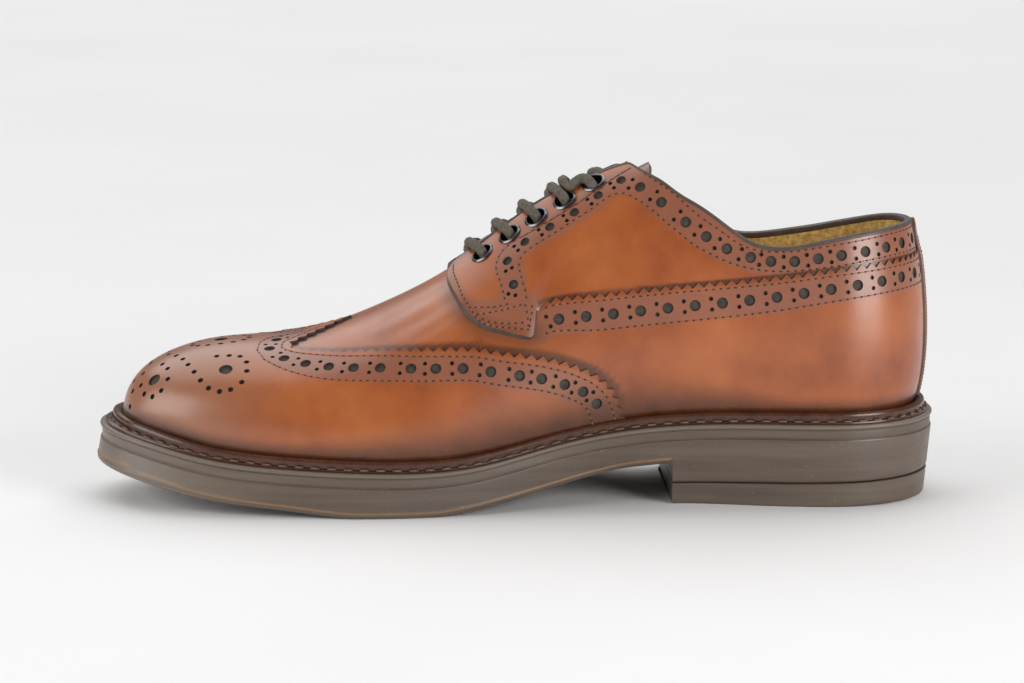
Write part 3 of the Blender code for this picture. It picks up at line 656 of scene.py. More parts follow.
def sewRow(points, normals, pitch, long, wide, kind="upper"):
    length = along3d(points)
    count = max(2, int(length[-1] / pitch))
    at = (np.arange(count) + 0.5) * length[-1] / count
    centre = resample(points, length, at)
    ahead = aheadOf(points, length, at, 0.3)
    up = resample(normals, length, at)
    stitchSpots[kind] += [(c, a, u, long, wide, length[-1] / count) for c, a, u in zip(centre, ahead, up)]


def sewOn(side, rows, out, lift=0.05, pitch=threads["pitch"]):  # rows of (run, v) on a leather layer
    run, v = rows[:, 0], rows[:, 1]
    long = min(threads["long"], threads["longShare"] * pitch)
    sewRow(onLast(side, run, v, out(run, v) + lift), lastNormal(side, run, v), pitch, long, threads["wide"])


def stitchFrame(centre, ahead, up):
    x = Vector(ahead).normalized()
    y = Vector(up).cross(x).normalized()
    turn = Matrix((x, y, x.cross(y))).transposed().to_4x4()
    return Matrix.Translation(Vector(centre) * mm) @ turn


def makeStitches(name, spots, thread, pits):
    def bead(bm, spot):
        centre, ahead, up, long, wide, pitch = spot
        size = Matrix.Diagonal((long / 2 * mm, wide / 2 * mm, wide * 0.42 * mm, 1.0))
        bmesh.ops.create_uvsphere(bm, u_segments=6, v_segments=5, radius=1.0,
                                  matrix=stitchFrame(centre, ahead, up) @ size)

    # painted shade: a dark flattened pit stands for each needle hole
    def pit(bm, spot):
        centre, ahead, up, long, wide, pitch = spot
        shift = Vector(ahead).normalized() * pitch / 2
        size = Matrix.Diagonal([threads[part] * mm for part in ("pitLong", "pitWide", "pitTall")] + [1.0])
        bmesh.ops.create_uvsphere(bm, u_segments=7, v_segments=4, radius=1.0,
                                  matrix=stitchFrame(Vector(centre) + shift, ahead, up) @ size)

    piece = finishPiece(name, joinShapes(spots, bead), [thread], 80.0, False)
    if not pits:
        return [piece]
    return [piece, finishPiece(name + "Pits", joinShapes(spots, pit), [needleShadeMaterial], 80.0, False)]


brogue = {"big": 2.1, "small": 0.84, "dot": 1.08, "apart": 1.9, "pairBefore": 3.9, "deep": 0.95}


def rowPoints(side, rows, out):
    return onLast(side, rows[:, 0], rows[:, 1], out(rows[:, 0], rows[:, 1]))


# big holes and the pairs before them, by a pitch or at given places
def brogueRow(side, line, out, start=0.0, pitch=9.9, bigs=None, big=brogue["big"], apart=brogue["apart"]):
    path = rowPoints(side, line, out)
    length = along3d(path)
    at = np.arange(start, length[-1] + 0.01, pitch)
    if bigs is not None:
        spots = rowPoints(side, bigs, out)
        at = np.array([length[np.argmin(np.linalg.norm(path - spot, axis=1))] for spot in spots])
    holes = []
    for spot in at:
        rows = resample(line, length, np.array([spot]))
        normal = lastNormal(side, rows[:, 0], rows[:, 1])[0]
        holes.append((rowPoints(side, rows, out)[0], normal, big, 20))
    pairs = at - brogue["pairBefore"]
    pairs = pairs[(pairs > 1.0) & (pairs < length[-1])]
    rows = resample(line, length, pairs)
    step = aheadOf(line, length, pairs, 0.5)
    byRun, byV = lastSlopes(side, rows[:, 0], rows[:, 1])
    ahead = byRun * step[:, :1] + byV * step[:, 1:]
    across = np.cross(lastNormal(side, rows[:, 0], rows[:, 1]), ahead)
    for sign in (-1.0, 1.0):
        run, v = march(side, rows[:, 0], rows[:, 1], across * sign, apart)
        spots = onLast(side, run, v, out(run, v))
        holes += [(p, n, brogue["small"], 10) for p, n in zip(spots, lastNormal(side, run, v))]
    return holes


# wing cap: rows fan out from the toe tip to the gimped edge
wing = {"tooth": 4.1, "toothDeep": 1.9, "stitchIn": 3.7, "stitchOut": 12.0, "holeIn": 7.9, "reach": 2.4,
        "columns": 84, "thick": 1.05, "wideRun": (72.0, 132.0), "wideV": (0.74, 0.9), "wideStitch": 2.8,
        "wideHole": 1.3, "sewV": 0.985, "holeV": 0.975, "keepApart": 0.0016,
        "bigs": ((55.4, 0.910), (53.5, 0.803), (57.9, 0.717), (65.2, 0.657), (73.9, 0.627), (83.2, 0.597),
                 (92.9, 0.567), (103.2, 0.533), (111.9, 0.503), (122.2, 0.463), (131.4, 0.413),
                 (141.2, 0.360), (150.0, 0.310), (158.2, 0.260), (165.1, 0.210), (169.4, 0.147))}


def levelToV(side, run, level):
    low = hemV(side, run)
    return low + (1.0 - low) * np.asarray(level)


def wingOutline(side, spacing):  # from the peak on the crest down to the hem, evenly spaced
    level = np.linspace(1.0, 0.0, 260)
    run = wingEdge(level)
    line = np.stack([run, levelToV(side, run, level)], -1)
    length = along3d(lastPoint(side, line[:, 0], line[:, 1]))
    count = 2 * round(length[-1] / spacing / 2)
    return resample(line, length, np.linspace(0, length[-1], count + 1))


def insetWing(side, line, distance):
    heading = -inwardOf(side, line[:, 0], line[:, 1])
    heading[0] = (-1.0, 0.0, 0.0)
    run, v = march(side, line[:, 0], line[:, 1], heading, distance)
    peak = 1.0 - wing["keepApart"] * np.arange(len(v))  # rows keep their order at the peak
    v = np.minimum.accumulate(np.minimum(v, peak))
    return np.stack([run, v], -1)


def wingHalf(side):  # run and v of each row
    line = wingOutline(side, wing["tooth"] / 2)
    inset = insetWing(side, line, wing["reach"])
    valley = insetWing(side, line, wing["toothDeep"])
    edge = np.where(np.arange(len(line))[:, None] % 2 == 0, line, valley)
    low = hemV(side, inset[:, 0])
    level = np.clip((inset[:, 1] - low) / (1 - low), 0.0, 1.0)
    shares = np.linspace(0.0, 1.0, wing["columns"]) ** 1.6
    run = inset[:, :1] * shares
    v = levelToV(side, run, level[:, None])
    v[0] = 1.0
    mid = 0.5 * (inset + edge)
    run = np.concatenate([run, mid[:, :1], edge[:, :1]], 1)
    v = np.concatenate([v, mid[:, 1:], edge[:, 1:]], 1)
    v[0] = 1.0
    return run, v


wingHoles = []
wingRows = {}
halves = {}
for side in bothSides:
    halves[side] = wingHalf(side)
    fine = wingOutline(side, 1.2)
    wide = 1.0 - smoothStep(*wing["wideRun"], fine[:, 0])  # the band widens towards the toe
    wide = wide * (1.0 - smoothStep(*wing["wideV"], fine[:, 1]))
    for distance in (wing["stitchIn"], wing["stitchOut"] + wing["wideStitch"] * wide):
        row = insetWing(side, fine, distance)
        keep = (row[:, 1] < wing["sewV"]) | (np.arange(len(row)) == 0)
        sewOn(side, row[keep][1:], wingOut)
    holeLine = insetWing(side, fine, wing["holeIn"] + wing["wideHole"] * wide)
    wingRows[side] = holeLine[holeLine[:, 1] < wing["holeV"]]
    wingHoles += brogueRow(side, wingRows[side], wingOut, bigs=np.array(wing["bigs"]))
both = [np.concatenate([halves[medial][k][::-1], halves[lateral][k][1:]], 0) for k in (0, 1)]
wingSides = [medial] * len(halves[medial][0]) + [lateral] * (len(halves[lateral][0]) - 1)
top, under = (np.stack([onLast(side, run, v, wingOut(run, v) - down)
                        for side, run, v in zip(wingSides, *both)]) for down in (0.0, wing["thick"]))
wingCap = sheetPiece("wingCap", top, under, [calfMaterial, inkMaterial])

# toe medallion, charted as big holes, a chain, a loop and a ring
medallion = {
    "bigs": ((37.4, 0.650), (12.0, 0.633)),             # run and v
    "centreBigs": (35.0, 1.9), "big": 2.6, "nearCrest": 0.999,
    "chain": ((34.0, 0.770), (38.4, 0.770), (42.3, 0.760), (44.7, 0.710), (44.9, 0.640), (43.2, 0.560),
              (39.3, 0.507), (35.4, 0.490), (31.5, 0.510), (28.6, 0.567), (26.2, 0.640), (23.9, 0.717),
              (21.9, 0.793), (19.4, 0.870), (16.5, 0.953)),
    "frontLoop": ((14.6, 0.810), (16.6, 0.723), (16.9, 0.603), (14.7, 0.497), (11.6, 0.447), (8.6, 0.497),
                  (7.2, 0.637), (7.7, 0.830), (10.1, 0.967)),
    "tip": ((4.4, 0.863), (4.2, 0.640), (3.3, 0.397)),
    "ring": (35.0, 10.5, 7.0, 14),                      # run, half length, half width and count
}


def medallionHole(side, run, v, radius, sides):
    run, v = np.array([run]), np.array([v])
    return onLast(side, run, v, wingOut(run, v))[0], lastNormal(side, run, v)[0], radius, sides


for side in bothSides:
    for run, v in medallion["bigs"]:
        wingHoles.append(medallionHole(side, run, v, medallion["big"], 22))
    for run, v in (*medallion["chain"], *medallion["frontLoop"], *medallion["tip"]):
        wingHoles.append(medallionHole(side, run, v, brogue["dot"], 12))
for run in medallion["centreBigs"]:
    wingHoles.append(medallionHole(medial, run, 1.0, medallion["big"], 22))
ringRun, lengthwise, sideways, ringCount = medallion["ring"]
forwards, _ = lastSlopes(medial, ringRun, 1.0)
forwards = forwards / np.linalg.norm(forwards)
for k in range(ringCount):
    angle = 2 * math.pi * (k + 0.5) / ringCount
    side = medial if math.sin(angle) < 0 else lateral
    away = forwards * math.cos(angle) * lengthwise + np.array([0.0, 1.0, 0.0]) * math.sin(angle) * sideways
    run, v = march(side, [ringRun], [medallion["nearCrest"]], [away], float(np.linalg.norm(away)))
    wingHoles.append(medallionHole(side, float(run[0]), float(v[0]), brogue["dot"], 12))
punch(wingCap, wingHoles, holeMaterial, brogue["deep"])
print("wing cap cut with", len(wingHoles), "holes")


# vamp and galosh, one skin that ends in the gimped strip behind the tab
vamp = {"rows": 72, "tooth": 3.9, "toothDeep": 1.9, "stitchIn": 2.8, "stitchOut": 13.2, "holeIn": 8.0,
        "frontNarrow": 1.2, "frontRun": (151.0, 172.0), "heelNarrow": 2.0, "heelRun": (195.0, 285.0),
        "holeRise": 1.0, "thick": 1.1, "reach": 2.4, "firstHole": 7.2, "holePitch": 9.75, "notch": 0.9,
        "whole": 126.0, "under": ((126.0, 88.0), (138.0, 76.0), (147.4, 68.9)), "firstTooth": 151.2}
vampUnder = tableCurve(vamp["under"])
galoshFront = shape["galoshFront"]
stripClear = 4.6  # sewn rows stop short of the back strip


def galoshTop(run):
    return float(galoshEdge(max(run, galoshFront)))


def vampTopV(side, run):
    if run <= vamp["whole"]:
        return 1.0
    if run < galoshFront:
        return vAtHeight(side, run, float(vampUnder(run)))
    return vAtHeight(side, run, galoshTop(run))


teeth = np.arange(vamp["firstTooth"], runEnd - 0.6, vamp["tooth"] / 2)
vampRuns = np.concatenate([(0.45 * np.arange(0, 17)) ** 2, np.arange(53.4, 125.5, 1.5), [125.9, 126.05],
                           np.arange(127.5, 147, 1.5), [147.3, 147.4, 147.6, 147.9, 148.4, 149.1, 150.1],
                           teeth, [runEnd]])


def vampHalf(side):
    rows = []
    for run in vampRuns:
        topV = vampTopV(side, run)
        gimped = vamp["firstTooth"] < run < runEnd - 0.1
        valley = gimped and round((run - vamp["firstTooth"]) / (vamp["tooth"] / 2)) % 2 == 1
        insetV = vBelow(side, run, topV, vamp["reach"])
        body = vSteps(side, run, hemV(side, run), insetV, np.linspace(0, 1, vamp["rows"]))
        edgeV = vBelow(side, run, topV, vamp["toothDeep"]) if valley else topV
        rows.append([*body, 0.5 * (insetV + edgeV), edgeV])
    return np.array(rows)


def shellHalves(runs, halfOf, out, thick):
    top, under = [], []
    for side in bothSides:
        v = halfOf(side)
        run = np.repeat(runs[:, None], v.shape[1], 1)
        top.append(onLast(side, run, v, out(run, v)))
        under.append(onLast(side, run, v, out(run, v) - thick))
    join = lambda pair: np.concatenate([pair[0], pair[1][-2::-1]], 0)
    return join(top), join(under)


top, under = shellHalves(vampRuns, vampHalf, vampOut, vamp["thick"])
vampSkin = sheetPiece("vampAndGalosh", top, under, [calfMaterial, inkMaterial])


def galoshRow(side, runs, edge, drops):  # a row that far below the gimped edge
    return np.stack([runs, [vBelow(side, run, v, drop) for run, v, drop in zip(runs, edge, drops)]], -1)


galoshHoles = []
galoshLines = {}
galoshNotches = {}
galoshRows = {}
for side in bothSides:
    runs = np.concatenate([[149.6, 150.4], np.arange(151.4, runEnd - stripClear, 1.2)])
    edge = np.array([vAtHeight(side, run, galoshTop(run)) for run in runs])
    toHeel = smoothStep(*vamp["heelRun"], runs)
    narrow = vamp["frontNarrow"] * (1.0 - smoothStep(*vamp["frontRun"], runs)) + vamp["heelNarrow"] * toHeel
    galoshLines[side] = np.stack([runs, edge], -1)
    galoshNotches[side] = galoshRow(side, runs, edge, np.full_like(runs, vamp["notch"]))
    for drops in (np.full_like(runs, vamp["stitchIn"]), vamp["stitchOut"] - narrow):
        sewOn(side, galoshRow(side, runs, edge, drops), vampOut)
    galoshRows[side] = galoshRow(side, runs, edge, vamp["holeIn"] - vamp["holeRise"] * toHeel)
    galoshHoles += brogueRow(side, galoshRows[side], vampOut, vamp["firstHole"], vamp["holePitch"])
punch(vampSkin, galoshHoles, holeMaterial, brogue["deep"])
print("vamp and galosh cut with", len(galoshHoles), "holes")


# quarters with their lacing tabs, sewn rows and punched bands
quarter = {
    "rows": 44, "thick": 1.2, "flare": 1.3, "tuck": 3.0, "sink": 0.9, "sinkV": (0.004, 0.03),
    "sinkRun": 148.6, "thickFront": 0.5, "frontRun": (146.0, 152.0), "lowest": -1.25, "seamRun": 144.0,
    "holeLift": 5.0,
    "collarIn": ((186.4, 0.842), (190.4, 0.782), (196.2, 0.711), (200.6, 0.660), (205.0, 0.613),
                 (208.8, 0.581), (213.3, 0.549), (217.7, 0.519), (222.0, 0.497), (228.9, 0.479),
                 (235.7, 0.472), (248.4, 0.477), (261.5, 0.489), (278.6, 0.500), (304.0, 0.503)),
    "collarBigs": ((181.2, 0.816), (186.5, 0.767), (193.8, 0.677), (201.6, 0.597), (208.9, 0.540),
                   (216.2, 0.497), (224.0, 0.469), (231.8, 0.453), (240.1, 0.449), (248.4, 0.453),
                   (257.2, 0.460), (265.9, 0.466), (275.7, 0.472), (285.4, 0.476), (296.0, 0.478),
                   (304.0, 0.478)),
    "collarOut": ((186.0, 0.717), (190.4, 0.667), (194.8, 0.617), (199.7, 0.570), (203.8, 0.534),
                  (208.9, 0.502), (215.3, 0.470), (220.1, 0.453), (225.5, 0.440), (231.8, 0.431),
                  (239.1, 0.428), (248.4, 0.431), (261.5, 0.442), (269.0, 0.448), (277.1, 0.452),
                  (304.0, 0.454)),
    "outline": ((126.2, 5.6), (122.6, 6.6), (120.2, 9.4), (118.9, 13.6), (119.5, 20.5), (121.7, 28.9),
                (124.6, 36.4), (128.5, 42.4), (132.0, 46.2), (136.0, 49.6), (141.0, 53.9), (145.6, 57.4)),
    "rear": ((146.5, 57.6), (146.9, 56.7), (147.3, 54.2), (147.7, 51.4), (148.1, 48.6)),
    "facingHole": ((139.6, 39.8), (140.7, 35.6), (139.9, 30.2), (139.2, 25.3), (141.2, 23.0), (145.6, 22.0),
                   (154.3, 21.5), (163.1, 20.0), (171.4, 17.0), (179.7, 14.3)),
    "facingBigs": ((140.7, 35.6), (139.2, 25.3), (145.6, 22.0), (154.3, 21.5), (163.1, 20.0), (171.4, 17.0),
                   (179.7, 14.3)),
    "facingOut": ((146.4, 45.6), (145.1, 43.1), (144.6, 40.1), (144.1, 37.9), (143.6, 34.7), (143.1, 31.1),
                  (143.6, 27.9), (145.1, 26.4), (147.0, 25.9), (150.0, 25.5), (156.8, 24.5), (163.1, 22.9),
                  (169.4, 21.2), (175.8, 19.3), (179.2, 19.8), (181.8, 21.7), (183.6, 23.6)),
    "facingIn": ((138.3, 41.5), (137.3, 38.3), (136.8, 34.7), (136.3, 31.9), (135.8, 29.5), (135.3, 26.1),
                 (135.8, 22.9), (137.3, 20.5), (139.2, 19.4), (142.6, 19.0), (146.5, 19.3), (150.0, 19.3),
                 (154.8, 19.0), (160.2, 18.0), (163.6, 17.3), (168.5, 15.4), (173.3, 13.7), (178.7, 11.8),
                 (183.0, 10.4)),
    "facingPair": 1.25, "facingBig": 1.9,
    "tabRows": (((121.4, 8.9), (120.9, 14.7), (121.5, 19.4), (122.3, 24.4), (123.6, 30.2), (125.1, 34.3),
                 (127.5, 40.2), (130.0, 43.7), (133.2, 46.6), (137.3, 49.4), (143.1, 53.2), (145.0, 54.4)),
                ((125.2, 34.4), (127.0, 35.7), (130.0, 37.5), (133.4, 39.5), (138.0, 41.3)),
                ((126.0, 37.0), (127.8, 38.8), (129.8, 39.8), (133.4, 41.3), (137.3, 42.8), (142.6, 44.4)),
                ((127.9, 39.4), (129.6, 41.8), (131.4, 43.7), (134.4, 46.0), (137.3, 47.9), (143.1, 51.0)),
                ((143.1, 42.8), (144.1, 45.0), (144.6, 47.2), (145.0, 50.2), (145.1, 53.0)),
                ((146.5, 44.6), (146.6, 46.4), (146.4, 49.4), (145.9, 51.7), (145.6, 53.6))),
}


def dropToV(side, rows):  # rows of (run, distance below the crest) become (run, v)
    rows = np.array(rows, float)
    v = [vBelow(side, run, 1.0, drop + lateralDrop(side, run)) for run, drop in rows]
    return np.stack([rows[:, 0], v], -1)


def smoothPath(rows, count):  # spline through short rows, by chord length
    rows = np.array(rows, float)
    chord = along3d(rows)
    at = np.linspace(0, chord[-1], count)
    return np.stack([cubicCurve(chord, rows[:, k])(at) for k in range(rows.shape[1])], -1)


def sewnPath(side, rows, count=70):
    return dropToV(side, smoothPath(rows, count))


def collarRow(side, rows):  # given on the medial side; the lateral row follows its own topline
    rows = np.array(rows, float)
    runs = np.arange(rows[0, 0], runEnd - stripClear, 1.2)
    v = cubicCurve(rows[:, 0], rows[:, 1])(runs)
    edges = [[vAtHeight(one, run, float(topline[one](run))) for run in runs] for one in (side, medial)]
    return np.stack([runs, v + np.subtract(*edges)], -1)


def quarterHalf(side):
    outline, rear = sewnPath(side, quarter["outline"], 84), dropToV(side, quarter["rear"])
    backRuns = np.concatenate([np.arange(149.2, 176, 1.6), np.arange(176, 192, 0.8),
                               np.arange(192, runEnd, 1.7), [runEnd]])
    edge = [vAtHeight(side, run, galoshTop(run)) for run in backRuns]
    back = [(run, vBelow(side, run, v, quarter["tuck"])) for run, v in zip(backRuns, edge)]
    bottom = np.concatenate([outline, rear, np.array(back)])
    tabCount = len(outline) + len(rear)
    topRuns = np.concatenate([126.6 + (148.6 - 126.6) * np.linspace(0, 1, tabCount), backRuns])
    topRow = np.array([(run, freeEdgeV(side, run)) for run in topRuns])
    shares = np.concatenate([[0, 0.012, 0.03], np.linspace(0.06, 0.97, quarter["rows"]), [0.988, 1.0]])
    grid = bottom[:, None, :] + (topRow - bottom)[:, None, :] * shares[None, :, None]
    flare = inwardOf(side, bottom[:, 0], bottom[:, 1])
    run, v = march(side, bottom[:, 0], bottom[:, 1], flare, -quarter["flare"])
    wide = grid.copy()
    edge = np.arange(len(bottom)) < tabCount
    wide[edge, 0] = np.stack([run, v], -1)[edge]
    return grid, wide


eyelets = {"along": (131.2, 141.0, 150.3, 160.1, 170.3), "side": (13.4, 13.6, 13.6, 12.3, 9.9),
           "inner": 3.6, "sides": 24, "sink": 3.0, "dropShare": 0.8}


def eyeletBeside(side, number):  # distance from the centre line
    drop = lateralDrop(side, eyelets["along"][number])
    return eyelets["side"][number] + eyelets["dropShare"] * drop


def eyeletPlace(side, number):
    along = eyelets["along"][number]
    v = vBeside(side, along, eyeletBeside(side, number))
    return along, v, float(quarterOut(side)(along, v))


quarters = {}
eyeletHoles = []
quarterRows = {}
for side in bothSides:
    grid, wide = quarterHalf(side)
    run, v = grid[..., 0], grid[..., 1]
    tuckRuns = np.clip(run[:, 0], galoshFront, runEnd)
    tuckV = np.array([vAtHeight(side, place, galoshTop(place)) for place in tuckRuns])
    dip = smoothStep(*quarter["sinkV"], tuckV[:, None] - v) * (run > quarter["sinkRun"])
    out = quarterOut(side)(run, v) - quarter["sink"] * dip
    thick = quarter["thick"] + quarter["thickFront"] * (1.0 - smoothStep(*quarter["frontRun"], run))
    top = onLast(side, run, v, out)
    under = onLast(side, wide[..., 0], wide[..., 1], np.maximum(out - thick, quarter["lowest"]))
    name = "quarterMedial" if side < 0 else "quarterLateral"
    piece = sheetPiece(name, top, under, [calfMaterial, inkMaterial])
    collarIn = collarRow(side, quarter["collarIn"])
    collarHole = collarRow(side, quarter["collarBigs"])
    collarOut = collarRow(side, quarter["collarOut"])
    facingIn = sewnPath(side, quarter["facingIn"])
    facingOut = np.concatenate([sewnPath(side, quarter["facingOut"])[:-1], collarOut])
    lines = [(line, threads["pitch"]) for line in (collarIn, facingIn, facingOut)]
    lines += [(sewnPath(side, row, 40), threads["tab"]) for row in quarter["tabRows"]]
    lines.append((facingIn[facingIn[:, 0] > quarter["seamRun"]], threads["seam"]))  # a fine closed seam
    for line, pitch in lines:
        sewOn(side, line, quarterOut(side), 0.03, pitch)
    facingRow = sewnPath(side, quarter["facingHole"], 160)
    quarterRows[side] = np.concatenate([facingRow, collarHole, collarIn])
    holes = brogueRow(side, facingRow, quarterOut(side), bigs=dropToV(side, quarter["facingBigs"]),
                      big=quarter["facingBig"], apart=quarter["facingPair"])
    bigRuns = np.array(quarter["collarBigs"])[1:-1, 0]
    bigs = np.stack([bigRuns, np.interp(bigRuns, collarHole[:, 0], collarHole[:, 1])], -1)
    holes += brogueRow(side, collarHole, quarterOut(side), bigs=bigs)
    for number in range(len(eyelets["along"])):
        along, v, level = eyeletPlace(side, number)
        spot = onLast(side, along, v, level - eyelets["sink"])
        eyeletHoles.append((spot, lastNormal(side, along, v), eyelets["inner"], eyelets["sides"]))
        holes.append(eyeletHoles[-1])
    punch(piece, holes, holeMaterial, brogue["deep"], quarter["holeLift"])
    quarters[side] = piece
    print(name, "cut with", len(holes), "holes")

# lining, one wall inside the whole upper
lining = {"rows": 26, "out": -1.3, "thick": 0.9, "holeDeep": 4.0, "whole": 121.0}
liningRuns = np.concatenate([(0.45 * np.arange(0, 19)) ** 2, np.arange(68, 120, 4.0),
                             np.arange(120.5, 128, 0.9), np.arange(128, 174, 3.0), np.arange(174, 216, 1.5),
                             np.arange(216, runEnd, 3.0), [runEnd]])


def liningHalf(side):
    shares = np.linspace(0, 1, lining["rows"])
    edges = [1.0 if run <= lining["whole"] else freeEdgeV(side, run) for run in liningRuns]
    return np.array([vSteps(side, run, hemV(side, run), edge, shares)
                     for run, edge in zip(liningRuns, edges)])


def liningOut(run, v):
    return np.full_like(run, lining["out"])


top, under = shellHalves(liningRuns, liningHalf, liningOut, lining["thick"])
liningSkin = sheetPiece("lining", top, under, [liningMaterial, inkMaterial])
punch(liningSkin, eyeletHoles, holeMaterial, lining["holeDeep"])
print("lining made")

# unit sole with its lip, band, parting line and heel
sole = {"columns": ("along", "medExt", "latExt", "medFlare", "latFlare", "bottom"),
        "rows": ((0.0, 9.3, 9.3, 1.3, 1.3, 14.0), (16.0, 8.5, 8.5, 1.3, 1.3, 9.4),
                 (36.0, 7.8, 7.8, 1.2, 1.2, 5.2), (64.0, 7.3, 7.4, 0.9, 0.9, 2.0),
                 (95.0, 6.9, 7.2, 0.4, 0.5, -0.7), (125.0, 6.3, 6.9, -0.6, -0.2, 1.7),
                 (155.0, 5.5, 6.4, -2.6, -1.0, 8.2), (185.0, 5.4, 6.1, -6.0, -2.0, 14.4),
                 (203.0, 5.6, 6.1, -7.0, -2.6, 16.2), (225.0, 6.0, 6.3, -4.4, -2.6, 16.6),
                 (256.0, 6.8, 6.6, -2.6, -2.6, 16.6)),
        "backExt": 8.6, "breast": 197.2, "breastStep": 0.15, "blockFoot": (8.3, 9.6), "bandDeep": 5.4,
        "bandIn": 0.7, "stepOut": 0.5, "edgeRound": 1.08, "liftGap": 0.3, "rib": 0.28, "ribUp": 2.0}
soleCurves = rootCurves(sole["columns"], sole["rows"], sole["columns"])
edgeAngles = (0.4, 0.8, 1.2, math.pi / 2)  # round the bottom edges


def soleSizes(side, run):
    along, turn = splitRun(run)
    root = np.sqrt(along)
    reach = soleCurves["medExt" if side < 0 else "latExt"](root)
    reach = reach + (sole["backExt"] - reach) * np.sin(turn) ** 2
    flare = soleCurves["medFlare" if side < 0 else "latFlare"](root)
    return float(lastCurves["seat"](root)), float(reach), float(flare), float(soleCurves["bottom"](root))


def featherOut(side, run):  # feather edge and the direction straight out from it, in plan
    here = lastPoint(side, run, 0.0)
    if run <= 0.02:
        return here, np.array([-1.0, 0.0])
    ahead = lastPoint(side, run + 0.01, 0.0) - lastPoint(side, run - 0.01, 0.0)
    out = -side * np.array([ahead[1], -ahead[0]])
    return here, out / np.linalg.norm(out)


def beyond(side, run, out, height):
    here, direction = featherOut(side, run)
    return np.array([here[0] + direction[0] * out, here[1] + direction[1] * out, height])


def middleOf(run, height):
    along, _ = splitRun(run)
    return np.array([last["tipX"] + along, last["axisY"] + lastCurves["centre"](np.sqrt(along)), height])


def blockFoot(x):  # the heel block's underside tilts a little
    front, back = last["tipX"] + sole["breast"], last["tipX"] + last["heelAxis"] + last["backFeather"]
    low, high = sole["blockFoot"]
    return low + (high - low) * (x - front) / (back - front)


def wallReach(side, run, height):
    lip, reach, flare, bottom = soleSizes(side, run)
    foot = max(bottom, 0.0) * (1.0 - float(smoothStep(sole["breast"] - 20.0, sole["breast"] - 1.0, run)))
    down = (lip - sole["bandDeep"] - height) / (lip - sole["bandDeep"] - foot)
    return reach - sole["bandIn"] + sole["stepOut"] + (flare + sole["bandIn"] - sole["stepOut"]) * down


def roundRuns(first=0.0):
    toe = (0.4 * np.arange(0, 21)) ** 2
    runs = np.concatenate([toe, np.arange(67, 256, 3.0), np.linspace(256, runEnd, 19)])
    extra = [sole["breast"] - 1.2, sole["breast"], sole["breast"] + sole["breastStep"]]
    runs = np.unique(np.concatenate([runs[np.abs(runs - sole["breast"]) > 1.6], extra]))
    runs = runs[runs >= first]
    return [(medial, run) for run in runs] + [(lateral, run) for run in runs[-2::-1]]


def soleColumn(side, run):
    lip, reach, _, bottom = soleSizes(side, run)
    ground = max(bottom, 0.0)
    if run > sole["breast"]:
        ground = blockFoot(beyond(side, run, reach, 0.0)[0])
    band, step = reach - sole["bandIn"], lip - sole["bandDeep"]
    profile = [(-6.0, lip), (reach - 2.0, lip), (reach - 0.95, lip - 0.02), (reach - 0.4, lip - 0.14),
               (reach - 0.1, lip - 0.45), (reach, lip - 0.85), (reach - 0.06, lip - 1.3),
               (reach - 0.3, lip - 1.62), (band - 0.14, lip - 1.78), (band - 0.16, lip - 1.98),
               (band + 0.02, lip - 2.16), (band + 0.06, lip - 2.7), (band + 0.04, lip - 4.3),
               (band, step + 0.26), (band - 0.12, step + 0.12), (band - 0.1, step - 0.02),
               (band + 0.32, step - 0.16), (wallReach(side, run, step - 0.5), step - 0.5)]
    wallTop, wallFoot = step - 0.8, ground + 3.1
    for share in np.linspace(0, 1, 6):
        height = wallTop + (wallFoot - wallTop) * share
        profile.append((wallReach(side, run, height), height))
    rib = sole["rib"] if run <= sole["breast"] - 1.0 else 0.0
    for up, out in ((2.5, 0.0), (2.2, 0.35), (sole["ribUp"], 1.0), (1.75, 1.0), (1.5, 0.3), (1.2, 0.0)):
        profile.append((wallReach(side, run, ground + up) + out * rib, ground + up))
    foot, turn = wallReach(side, run, ground), sole["edgeRound"]
    for angle in edgeAngles:
        profile.append((foot - turn * (1 - math.cos(angle)), ground + turn * (1 - math.sin(angle))))
    profile += [(foot - 3.0, ground), (foot - 8.0, ground)]
    inner = middleOf(run, ground)
    points = [middleOf(run, lip)] + [beyond(side, run, out, height) for out, height in profile]
    if run > sole["breast"]:
        for point in (*points[-6:], inner):
            point[2] += blockFoot(point[0]) - ground
    return points + [inner]


solePoints = np.array([soleColumn(*place) for place in roundRuns()])
soleBody = loftPiece("unitSole", solePoints, rubberMaterial)


def liftColumn(side, run):
    rim = blockFoot(beyond(side, run, 0.0, 0.0)[0]) - sole["liftGap"]
    reach, foot = wallReach(side, run, rim), wallReach(side, run, 0.0)
    profile = [(reach - 0.9, rim), (reach - 0.22, rim - 0.06), (reach, rim - 0.3)]
    profile += [(wallReach(side, run, height), height) for height in np.linspace(rim - 0.8, 1.2, 6)]
    profile += [(foot - (1 - math.cos(angle)), 1.0 - math.sin(angle)) for angle in edgeAngles]
    profile.append((foot - 6.0, 0.0))
    seat = middleOf(run, blockFoot(middleOf(run, 0.0)[0]) - sole["liftGap"])
    return [seat, *(beyond(side, run, out, height) for out, height in profile), middleOf(run, 0.0)]


liftPlaces = roundRuns(sole["breast"] + sole["breastStep"])
liftPoints = np.array([liftColumn(*place) for place in liftPlaces])
heelLift = loftPiece("heelTopPiece", liftPoints, rubberMaterial, True)

# shallow cross grooves under the forefoot and the heel
tread = {"wide": 2.2, "deep": 1.3, "margin": 9.0, "pitch": 7.0, "fore": (24.0, 152.0),
         "heel": (208.0, 252.0)}


